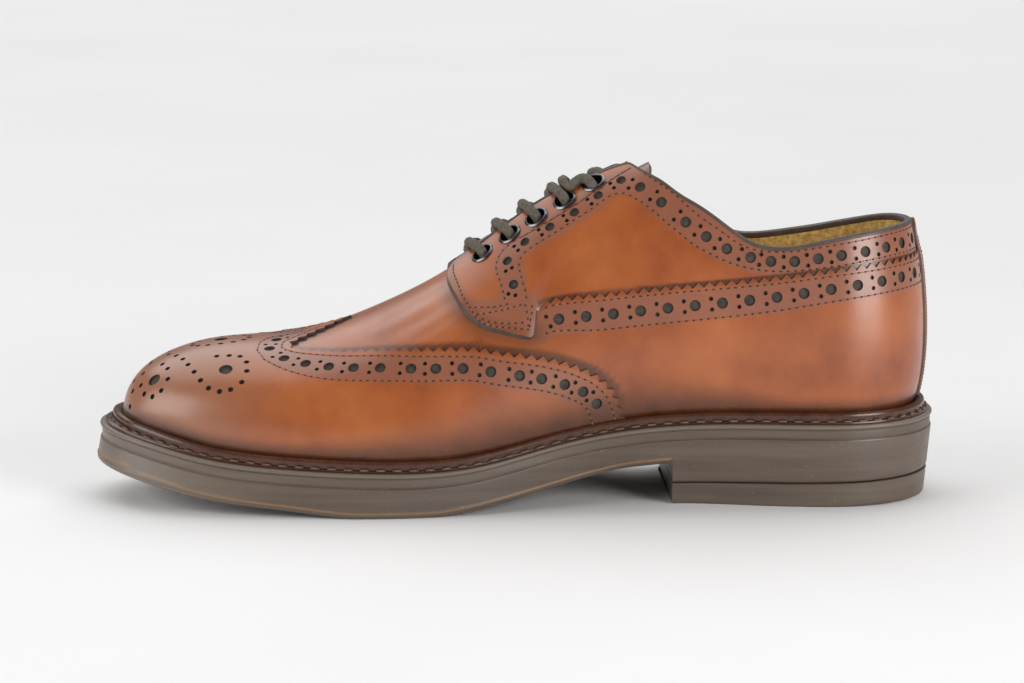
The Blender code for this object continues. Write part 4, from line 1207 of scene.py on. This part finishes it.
def grooveAt(run, flat):  # a box across the sole, tilted with its underside
    before, here, after = (0.0 if flat else max(soleSizes(medial, run + step)[3], 0.0)
                           for step in (-1.0, 0.0, 1.0))
    reach = [wallReach(side, run, here) - tread["margin"] for side in bothSides]
    first, second = (Vector(beyond(side, run, out, here)) for side, out in zip(bothSides, reach))
    up = Vector((before - after, 0.0, 2.0)).normalized()
    across = (second - first).normalized()
    turn = Matrix((across.cross(up), across, up)).transposed().to_4x4()
    size = Matrix.Diagonal((tread["wide"] * mm, (second - first).length * mm, 2 * tread["deep"] * mm, 1.0))
    return Matrix.Translation((first + second) / 2 * mm) @ turn @ size


def cutTread(piece, span, flat):
    grooves = [grooveAt(run, flat) for run in np.arange(*span, tread["pitch"])]
    shapes = joinShapes(grooves, lambda bm, place: bmesh.ops.create_cube(bm, size=1.0, matrix=place))
    cutAway(piece, shapes, rubberMaterial, 40.0)


cutTread(soleBody, tread["fore"], False)
cutTread(heelLift, tread["heel"], True)
print("sole and heel made")


# storm welt: a rolled bead against the upper and a flat that is sewn to the sole
welt = {"clear": 1.5, "bead": 4.2, "flat": 1.15, "shares": (0.36, 0.72), "pitch": 5.8, "long": 3.9,
        "wide": 0.8}


def leanOf(side, run, height):  # how far the last's wall stands past the feather edge
    section = sectionOf(side, run)
    climb = section[:, 2] - section[0, 2]
    point = np.array([np.interp(height, climb, section[:, k]) for k in (0, 1)])
    here, direction = featherOut(side, run)
    return float(np.dot(point - here[:2], direction))


def weltColumn(side, run):
    lip, reach, _, _ = soleSizes(side, run)
    wall = [max(leanOf(side, run, tall), 0.0) + welt["clear"] for tall in (0.0, 2.2, welt["bead"])]
    wall[0] = max(wall[0], 2 * wall[1] - wall[2])
    width = reach - wall[0]
    bead = wall[2] + welt["shares"][0] * width + 0.35
    flat = wall[0] + welt["shares"][1] * width
    mid, tall = 0.5 * (bead + wall[2]), welt["bead"]
    profile = ((wall[0] - 1.2, 0.05), (flat, 0.05), (flat + 0.18, 0.35), (flat + 0.1, 0.85),
               (flat - 0.25, 1.12), (bead + 0.55, welt["flat"]), (bead + 0.2, welt["flat"] - 0.05),
               (bead - 0.08, welt["flat"] + 0.12), (bead - 0.1, 1.9), (bead + 0.02, 2.6),
               (bead + 0.03, 3.1), (bead - 0.1, 3.6), (bead - 0.4, 4.02), (mid + 0.1, tall),
               (mid - 0.45, tall - 0.02), (wall[2] + 0.1, tall - 0.3), (wall[2] - 0.5, 3.4),
               (wall[2] - 1.4, 2.4), (wall[0] - 1.2, 0.05))
    points = np.array([beyond(side, run, out, lip + up) for out, up in profile])
    return points, beyond(side, run, bead + 0.75, lip + welt["flat"] + 0.1)


weltPlaces = [weltColumn(*place) for place in roundRuns()]
weltBody = loftPiece("stormWelt", np.array([points for points, _ in weltPlaces]), weltMaterial)
weltLine = np.array([spot for _, spot in weltPlaces])
weltUp = np.tile((0.0, 0.0, 1.0), (len(weltLine), 1))
sewRow(weltLine, weltUp, welt["pitch"], welt["long"], welt["wide"], "welt")
print("welt made")

# insole seen through the collar
insole = {"inset": 3.4, "tall": 4.0, "spine": 9.0, "dish": 0.8}


def insoleColumn(side, run):
    lip = soleSizes(side, run)[0]
    tight = insole["inset"] + max(-leanOf(side, run, insole["tall"]), 0.0)
    spine = max(run, insole["spine"])
    under = soleSizes(side, spine)[0]
    edge = [beyond(side, run, -tight + out, lip + up) for out, up in
            ((-4.0, 4.0), (-1.2, 4.0), (-0.35, 3.85), (0.0, 3.4), (0.0, 1.0), (-0.4, 0.3))]
    return [middleOf(spine, under + insole["tall"] - insole["dish"]), *edge, middleOf(spine, under + 0.3)]


sock = loftPiece("insoleSock", np.array([insoleColumn(*place) for place in roundRuns()]), liningMaterial)

# tongue behind the throat
tongueSet = {"first": 108.0, "last": 188.0, "tip": 176.0, "half": 23.0, "round": 13.0, "steady": 187.0,
             "top": -3.3, "sink": 1.6, "sinkRun": 81.0, "thick": 1.8, "rows": 15}
tongueRuns = np.concatenate([np.arange(tongueSet["first"], tongueSet["tip"], 3.0),
                             np.linspace(tongueSet["tip"], tongueSet["last"], 12)])
tongueGrid = []
for run in tongueRuns:
    near = max(run - tongueSet["last"] + tongueSet["round"], 0.0) / tongueSet["round"]
    half = tongueSet["half"] * math.sqrt(max(1.0 - 0.75 * near ** 2.2, 0.0))
    row = []
    for side in bothSides:
        shares = np.linspace(0, 1, tongueSet["rows"])
        line = vSteps(side, run, vBeside(side, min(run, tongueSet["steady"]), half), 1.0, shares)
        depth = tongueSet["top"] - tongueSet["sink"] * (run - tongueSet["first"]) / tongueSet["sinkRun"]
        row.append((onLast(side, np.full_like(line, run), line, depth),
                    onLast(side, np.full_like(line, run), line, depth - tongueSet["thick"])))
    tongueGrid.append([np.concatenate([row[0][k], row[1][k][-2::-1]]) for k in (0, 1)])
tongueTop = np.array([pair[0] for pair in tongueGrid])
tongueUnder = np.array([pair[1] for pair in tongueGrid])
tonguePiece = sheetPiece("tongue", tongueTop, tongueUnder, [calfMaterial, inkMaterial])
print("insole and tongue made")


# bound edge of the facings and the collar
binding = {"up": 0.55, "faceDown": 1.15, "innerDown": 1.7, "inner": -2.2}
bindRuns = np.concatenate([np.arange(127.0, 172.0, 2.0), np.arange(172.0, 194.0, 0.6),
                           np.arange(194.0, 220.0, 1.3), np.arange(220.0, runEnd, 2.2), [runEnd]])


def bindingRing(side, run):
    edge = freeEdgeV(side, run)
    out = float(quarterOut(side)(run, edge))
    _, up = lastSlopes(side, run, edge)
    up = up / np.linalg.norm(up)
    normal = lastNormal(side, run, edge)
    at = lastPoint(side, run, edge)
    low, mid = binding["inner"], 0.5 * (out + binding["inner"])
    face, back = -binding["faceDown"], -binding["innerDown"]
    loop = ((face, out + 0.02), (face + 0.12, out + 0.2), (-0.4, out + 0.24), (0.05, out + 0.16),
            (0.42, out - 0.25), (binding["up"], mid), (0.42, low + 0.05), (0.05, low - 0.22),
            (-0.4, low - 0.3), (back + 0.2, low - 0.26), (back, low + 0.1), (face, mid), (face, out + 0.02))
    return np.array([at + up * rise + normal * away for rise, away in loop])


rings = [bindingRing(medial, run) for run in bindRuns]
rings += [bindingRing(lateral, run) for run in bindRuns[-2::-1]]
bindingRoll = loftPiece("collarBinding", np.array(rings), inkMaterial, True)

# back strip over the heel seam
backStrip = {"half": 4.3, "low": 35.5, "below": 2.1, "above": 1.55, "stepAt": (86.0, 92.0), "narrow": 0.45,
             "sewAt": (-0.78, 0.78), "sewLift": 0.06}
stripTop = float(topline[medial](runEnd)) - 0.3
stripHeights = np.linspace(backStrip["low"], stripTop, 60)
stripOffsets = np.array([-1.0, -0.96, -0.85, -0.6, -0.3, -0.1, 0.0, 0.1, 0.3, 0.6, 0.85, 0.96, 1.0])
stripRise = np.array([-0.55, -0.15, 0.0, 0.02, 0.02, -0.02, -0.2, -0.02, 0.02, 0.02, 0.0, -0.15, -0.55])


def stripOut(height):  # it lies over the galosh below and the collar above
    below, above = backStrip["below"], backStrip["above"]
    return below + (above - below) * smoothStep(*backStrip["stepAt"], height)


stripGrid = []
for share, rise in zip(stripOffsets, stripRise):
    side = medial if share < 0 else lateral
    column = []
    for height in stripHeights:
        narrow = 1.0 - backStrip["narrow"] * float(smoothStep(stripTop - 3.0, stripTop, height)) ** 2
        run = runEnd - abs(share) * backStrip["half"] * narrow
        column.append((side, run, vAtHeight(side, run, height), float(stripOut(height)) + rise))
    stripGrid.append(column)
top = np.array([[onLast(*place) for place in column] for column in stripGrid])
under = np.array([[onLast(*place, min(out - 0.5, 0.6)) for *place, out in column] for column in stripGrid])
strip = sheetPiece("backStrip", top, under, [calfMaterial, inkMaterial])
for share in backStrip["sewAt"]:
    side = medial if share < 0 else lateral
    runs = np.full(len(stripHeights) - 6, runEnd - abs(share) * backStrip["half"])
    v = np.array([vAtHeight(side, run, height) for run, height in zip(runs, stripHeights)])
    out = stripOut(stripHeights[:-6])
    sewOn(side, np.stack([runs, v], -1), lambda run, v: out, backStrip["sewLift"])
print("binding and back strip made")


# eyelets, spun rings with a barrel through the facing
ring = {"inner": 3.45, "outer": 4.6, "tall": 0.55, "barrel": 2.6, "steps": 30}


eyeletPieces = []
for side in bothSides:
    for number in range(len(eyelets["along"])):
        along, v, out = eyeletPlace(side, number)
        normal = Vector(lastNormal(side, along, v))
        spot = Vector(onLast(side, along, v, out)) * mm
        inner, outer, tall = ring["inner"], ring["outer"], ring["tall"]
        profile = ((inner, -ring["barrel"]), (inner, 0.1), (inner + 0.08, 0.36),
                   (inner + 0.28, tall - 0.06), (inner + 0.5, tall), (outer - 0.5, tall - 0.08),
                   (outer - 0.16, tall - 0.3), (outer, 0.12), (outer - 0.05, -0.12), (inner + 0.45, -0.15),
                   (inner + 0.4, -ring["barrel"]))
        bm = bmesh.new()
        line = [bm.verts.new((r * mm, 0.0, z * mm)) for r, z in profile]
        edges = [bm.edges.new(pair) for pair in zip(line, line[1:] + line[:1])]
        bmesh.ops.spin(bm, geom=line + edges, cent=(0, 0, 0), axis=(0, 0, 1), angle=2 * math.pi,
                       steps=ring["steps"], use_merge=True)
        turn = normal.to_track_quat("Z", "Y").to_matrix().to_4x4()
        bmesh.ops.transform(bm, matrix=Matrix.Translation(spot) @ turn, verts=bm.verts)
        name = f"eyelet{'Medial' if side < 0 else 'Lateral'}{number + 1}"
        node = f"eyelet_{'medial' if side < 0 else 'lateral'}_{number + 1}"
        eyeletPieces.append((finishPiece(name, bm, [metalMaterial], 60.0), node))
print("eyelets made")


# braided lace: out of each eyelet, over the facing edge, across the throat and under the other side
lace = {"radius": 1.9, "around": 24, "step": 0.26, "relief": 0.16, "picks": 6, "twist": 1.9}


def acrossPoint(side, run, distance, out):  # distance is negative past the centre line
    if distance < 0:
        side, distance = -side, -distance
    return onLast(side, run, vBeside(side, run, distance), out)


def laceHalf(side, number):  # from under the eyelet up to the middle of the throat
    along, _, out = eyeletPlace(side, number)
    hole = eyeletBeside(side, number)
    gap = float(throat(along - 3.0)) + lateralDrop(side, along)
    span = hole - gap
    places = ((0.3, hole + 0.6, out - 3.4), (0.2, hole + 0.2, out - 1.2), (0.0, hole - 0.6, out + 1.0),
              (-0.7, gap + 0.72 * span, out + 2.4), (-1.7, gap + 0.4 * span, out + 2.9),
              (-2.6, gap + 0.6, out + 2.9), (-3.2, gap - 1.9, out + 0.9))
    if side > 0:
        places = ((0.3, hole + 0.6, out - 3.4), (-0.3, hole + 0.2, out - 1.2),
                  (-1.2, hole - 0.8, out + 0.5), (-2.8, gap + 0.65 * span, out + 1.4),
                  (-4.2, gap + 0.3 * span, out + 1.1), (-4.9, gap + 0.2, out + 0.4),
                  (-5.0, gap - 2.2, out - 1.4))
    return [acrossPoint(side, along + back, beside, rise) for back, beside, rise in places]


def laceKeys(number):
    along = eyelets["along"][number]
    return np.array([*laceHalf(medial, number), acrossPoint(medial, along - 4.2, 0.0, -1.3),
                     *reversed(laceHalf(lateral, number))])


def smoothTrack(keys, step):
    chord = along3d(keys)
    fine = np.linspace(0, chord[-1], 400)
    track = np.stack([cubicCurve(chord, keys[:, k])(fine) for k in range(3)], -1)
    length = along3d(track)
    return resample(track, length, np.linspace(0, length[-1], max(8, int(length[-1] / step))))


def braidTube(keys):
    track = smoothTrack(np.array(keys, float), lace["step"])
    ahead = np.gradient(track, axis=0)
    ahead /= np.linalg.norm(ahead, axis=1, keepdims=True)
    up = np.zeros_like(track)
    up[0] = np.cross(ahead[0], (0.3, 0.8, 0.5))
    up[0] /= np.linalg.norm(up[0])
    for k in range(1, len(track)):
        up[k] = up[k - 1] - ahead[k] * np.dot(up[k - 1], ahead[k])
        up[k] /= np.linalg.norm(up[k])
    sideways = np.cross(ahead, up)
    length = along3d(track)
    angle = np.linspace(0, 2 * math.pi, lace["around"] + 1)
    first = np.cos(lace["picks"] * angle[None] + lace["twist"] * length[:, None])
    second = np.cos(lace["picks"] * angle[None] - lace["twist"] * length[:, None])
    radius = lace["radius"] - lace["relief"] + lace["relief"] * np.maximum(first, second)
    close = np.minimum(length, length[-1] - length)
    radius = radius * np.sqrt(np.clip(close / 0.8, 0.0, 1.0))[:, None]
    return (track[:, None] + up[:, None] * (radius * np.cos(angle))[..., None]
            + sideways[:, None] * (radius * np.sin(angle))[..., None])


def laceTop(side):  # the top eyelet's strand runs forward, then turns over the facing edge
    along, _, out = eyeletPlace(side, 4)
    places = ((0.3, 12.3, out - 3.4), (0.1, 11.9, out - 1.0), (-0.5, 11.0, out + 1.1),
              (-1.6, 9.4, out + 2.2), (-3.2, 8.2, out + 2.2), (-5.2, 8.2, out + 2.0),
              (-6.8, 8.8, out + 2.0), (-8.0, 8.8, out + 2.3), (-8.8, 7.6, out + 3.6),
              (-8.9, 6.0, out + 3.6), (-8.6, 4.4, out + 1.2), (-8.2, 2.4, -1.2), (-7.9, -0.6, -1.9),
              (-7.5, -4.0, -2.4), (-7.1, -8.2, -3.0))
    return np.array([acrossPoint(side, along + back, beside, rise) for back, beside, rise in places])


def laceEnd():  # the other end drops through the throat under the medial facing
    along, _, out = eyeletPlace(lateral, 4)
    places = ((0.3, 12.3, out - 3.4), (0.2, 11.9, out - 1.0), (0.3, 11.0, out + 0.3), (0.6, 9.4, out + 0.6),
              (0.9, 6.8, out), (1.4, 3.4, out - 0.3), (2.0, 0.0, -0.2), (2.8, -3.6, -0.9),
              (3.2, -7.6, -2.9))
    return np.array([acrossPoint(lateral, along + back, beside, rise) for back, beside, rise in places])


laceTubes = [laceKeys(number) for number in range(4)] + [laceTop(medial), laceEnd()]
wholeLace = bmesh.new()
laceLength = 0.0
for keys in laceTubes:
    tube = loftPiece("laceStrand", braidTube(keys), laceMaterial, True, 0.006, 80.0)
    wholeLace.from_mesh(tube.data)
    laceLength += along3d(smoothTrack(np.array(keys, float), lace["step"]))[-1]
    bpy.data.objects.remove(tube)
lacePiece = finishPiece("lace", wholeLace, [laceMaterial], 80.0, False)
print("lace made, mm:", round(float(laceLength)))

# camera and light, matched to the photograph
view = {"target": (-0.00105, -0.004, 0.0546), "azimuth": 2.4, "elevation": 10.4, "distance": 1.45,
        "lens": 139.7}
azimuth, elevation = math.radians(view["azimuth"]), math.radians(view["elevation"])
flat = math.cos(elevation)
forward = Vector((math.sin(azimuth) * flat, math.cos(azimuth) * flat, -math.sin(elevation)))
cameraData = bpy.data.cameras.new("photoCamera")
cameraData.lens = view["lens"]
cameraData.sensor_width = 36.0
cameraData.sensor_fit = "HORIZONTAL"
cameraData.clip_end = 50.0
camera = bpy.data.objects.new("photoCamera", cameraData)
camera.location = Vector(view["target"]) - forward * view["distance"]
camera.rotation_euler = forward.to_track_quat("-Z", "Y").to_euler()
bpy.context.scene.collection.objects.link(camera)
bpy.context.scene.camera = camera
bpy.context.scene.view_settings.view_transform = "Standard"

studio = {"world": 0.17, "lights": (
    ("overhead", (0.0, 2.4, 3.2), (0.0, 1.2, 0.0), 6.0, 5.0, 162.0),
    ("leftSoft", (-1.4, -0.45, 0.5), (0.0, 0.0, 0.06), 1.2, 1.1, 16.5),
    ("rightSoft", (1.0, -1.0, 0.36), (0.1, 0.0, 0.06), 0.8, 0.75, 16.5))}
bm = bmesh.new()
bmesh.ops.create_grid(bm, x_segments=2, y_segments=2, size=6.0)
floorMaterial = makePlain("paleFloor", ((0.84,) * 3, (0.88,) * 3), (0.8, 0.9), 3.0, 200.0, 0.0001)
floor = finishPiece("floor", bm, [floorMaterial], 40.0, False)
world = bpy.data.worlds.new("studio")
world.use_nodes = True
world.node_tree.nodes["Background"].inputs["Color"].default_value = (0.95, 0.95, 0.95, 1.0)
world.node_tree.nodes["Background"].inputs["Strength"].default_value = studio["world"]
bpy.context.scene.world = world
for name, spot, aim, wide, tall, power in studio["lights"]:
    lightData = bpy.data.lights.new(name, "AREA")
    lightData.shape = "RECTANGLE"
    lightData.size = wide
    lightData.size_y = tall
    lightData.energy = power
    light = bpy.data.objects.new(name, lightData)
    light.location = spot
    light.rotation_euler = (Vector(aim) - Vector(spot)).to_track_quat("-Z", "Y").to_euler()
    bpy.context.scene.collection.objects.link(light)

# patina and painted shade: burnished hems and edges, duller bands and toe, and painted shade beside the
# wing edge, below the tab, in the galosh notches and low on the flanks
patinaAndShade = {"hem": (10.5, 4.2), "flank": 13.0, "flankRun": (50.0, 135.0, 185.0, 245.0), "band": (6.3, 4.6),
          "toe": (70.0, 22.0), "edge": (2.9, 1.2), "teeth": (2.0, 1.2), "tooth": (2.6, 1.4),
          "tab": (9.0, 1.0), "tabBand": (4.6, 2.0), "tabEdge": (5.0, 0.8), "quarterBand": (5.6, 4.4),
          "strip": 0.55, "tongue": 0.5, "hemShare": 0.95, "edgeShadeShare": 0.85, "notchShadeShare": 0.9,
          "tabShadeShare": 0.5, "toothShare": 0.4}


def rootAlong(x):
    return np.sqrt(np.clip(x - last["tipX"], 0.0, last["heelAxis"]))


def seatAt(x):
    return lastCurves["seat"](rootAlong(x))


def nearness(samples, limits):  # 1 close to the samples, 0 further off
    find = nearestTo(np.concatenate(samples))
    far, near = limits
    return lambda points: 1.0 - smoothStep(near, far, [find(point)[2] for point in points])


# darker toward the welt: burnish by the welt, and painted shade that reaches higher on the flanks
def hemTone(points):
    far, near = patinaAndShade["hem"]
    along = points[:, 0] - last["tipX"]
    start, full, fade, end = patinaAndShade["flankRun"]
    far = far + patinaAndShade["flank"] * smoothStep(start, full, along) * (1.0 - smoothStep(fade, end, along))
    return 1.0 - smoothStep(near, far, points[:, 2] - seatAt(points[:, 0]))


def evenTone(value):
    return lambda points: np.full(len(points), value)


def strongest(*tones):  # pairs of a share and a tone
    return lambda points: np.maximum.reduce([share * tone(points) for share, tone in tones])


def nearRows(rowsOf, outOf, limits):  # nearness to rows of (run, v) on both sides
    return nearness([rowPoints(side, rows, outOf(side))
                     for side in bothSides for rows in rowsOf(side)], limits)


def toeTone(points):
    far, near = patinaAndShade["toe"]
    return 1.0 - smoothStep(near, far, points[:, 0] - last["tipX"])


noTone = evenTone(0.0)
onVamp, onWing = (lambda side: vampOut), (lambda side: wingOut)
wingLine = lambda side: [wingOutline(side, 0.6)]
tabLine = lambda side: [sewnPath(side, quarter["outline"], 200)]
tabRows = lambda side: [sewnPath(side, row, 60) for row in quarter["tabRows"][1:]]
# painted shade on the vamp just beyond the raised wing edge
wingEdgeShade = nearRows(wingLine, onVamp, patinaAndShade["edge"])
wingTooth = nearRows(wingLine, onWing, patinaAndShade["tooth"])
wingBand = nearRows(lambda side: [wingRows[side]], onWing, patinaAndShade["band"])
# painted shadow on the quarter in the notches between the galosh teeth
galoshNotchShade = nearRows(lambda side: [galoshNotches[side]], onVamp, patinaAndShade["teeth"])
galoshTooth = nearRows(lambda side: [galoshLines[side]], onVamp, patinaAndShade["tooth"])
galoshBand = nearRows(lambda side: [galoshRows[side]], onVamp, patinaAndShade["band"])
quarterBand = nearRows(lambda side: [quarterRows[side]], quarterOut, patinaAndShade["quarterBand"])
tabBand = nearRows(tabRows, quarterOut, patinaAndShade["tabBand"])
tabEdge = nearRows(tabLine, quarterOut, patinaAndShade["tabEdge"])
# painted shade on the vamp along the tab's outline, below the proud tab
tabShade = nearRows(tabLine, onVamp, patinaAndShade["tab"])
hemBurnishAndShade = (patinaAndShade["hemShare"], hemTone)
paintTone(wingCap, strongest(hemBurnishAndShade, (patinaAndShade["toothShare"], wingTooth)), wingBand, toeTone)
# vamp: burnished hem and galosh teeth, with painted shade beside the wing edge, below the tab and low on
# the flanks
vampBurnishAndShade = strongest(hemBurnishAndShade, (patinaAndShade["edgeShadeShare"], wingEdgeShade), (patinaAndShade["tabShadeShare"], tabShade),
                        (patinaAndShade["toothShare"], galoshTooth))
paintTone(vampSkin, vampBurnishAndShade, galoshBand, noTone)
# quarter: painted shadow in the galosh notches, and burnished tab edges
quarterBurnishAndShade = strongest((patinaAndShade["notchShadeShare"], galoshNotchShade), (patinaAndShade["toothShare"], tabEdge))
for side in bothSides:
    paintTone(quarters[side], quarterBurnishAndShade, strongest((1.0, quarterBand), (1.0, tabBand)), noTone)
paintTone(strip, lambda points: patinaAndShade["strip"] + 0.4 * hemTone(points), noTone, noTone)
paintTone(tonguePiece, evenTone(patinaAndShade["tongue"]), evenTone(1.0), noTone)

soleTone = {"seamUp": 1.85, "seam": (0.2, 0.6), "lip": (1.5, 2.0), "toe": (6.0, 70.0), "toeHighlightShare": 0.75}


def seamTone(points):  # the parting line, in front of the heel
    ground = np.maximum(soleCurves["bottom"](rootAlong(points[:, 0])), 0.0)
    away = np.abs(points[:, 2] - ground - soleTone["seamUp"])
    return (points[:, 0] - last["tipX"] < sole["breast"] - 1.0) * (1.0 - smoothStep(*soleTone["seam"],
                                                                                    away))


def lipTone(points):
    return 1.0 - smoothStep(*soleTone["lip"], seatAt(points[:, 0]) - points[:, 2])


# painted highlight: the sole lighter toward the toe end
def paintedToeHighlight(points):
    return 1.0 - smoothStep(*soleTone["toe"], points[:, 0] - last["tipX"])


paintTone(soleBody, seamTone, strongest((1.0, lipTone), (soleTone["toeHighlightShare"], paintedToeHighlight)), noTone)
paintTone(heelLift, noTone, noTone, noTone)
print("patina painted")

# sewn thread
sewn = makeStitches("stitching", stitchSpots["upper"], threadMaterial, True)
weltSewn = makeStitches("weltStitching", stitchSpots["welt"], weltThread, False)
print("stitches", len(stitchSpots["upper"]), "and on the welt", len(stitchSpots["welt"]))

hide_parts("wing_cap")
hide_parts("galosh")
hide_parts("upper")
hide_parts("quarter_front_medial")
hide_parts("quarter_front_lateral")
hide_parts("sole")
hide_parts("heel_top_lift")
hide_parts("welt")
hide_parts("insole")
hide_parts("tongue")
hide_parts("back_strip")
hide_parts(*(f"lace_bar_{k}" for k in range(1, 6)))
for piece, node in eyeletPieces:
    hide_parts(node)
slots = {"overlay_calf": (wingCap, quarters[medial], quarters[lateral], strip, bindingRoll, *sewn),
         "calf": (vampSkin, liningSkin, tonguePiece), "sole_rubber": (soleBody,),
         "lift_rubber": (heelLift,), "welt_leather": (weltBody, *weltSewn), "insole_leather": (sock,),
         "lace_cord": (lacePiece,), "eyelet_metal": tuple(piece for piece, _ in eyeletPieces)}
for slot, group in slots.items():
    for piece in group:
        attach(piece, "root")
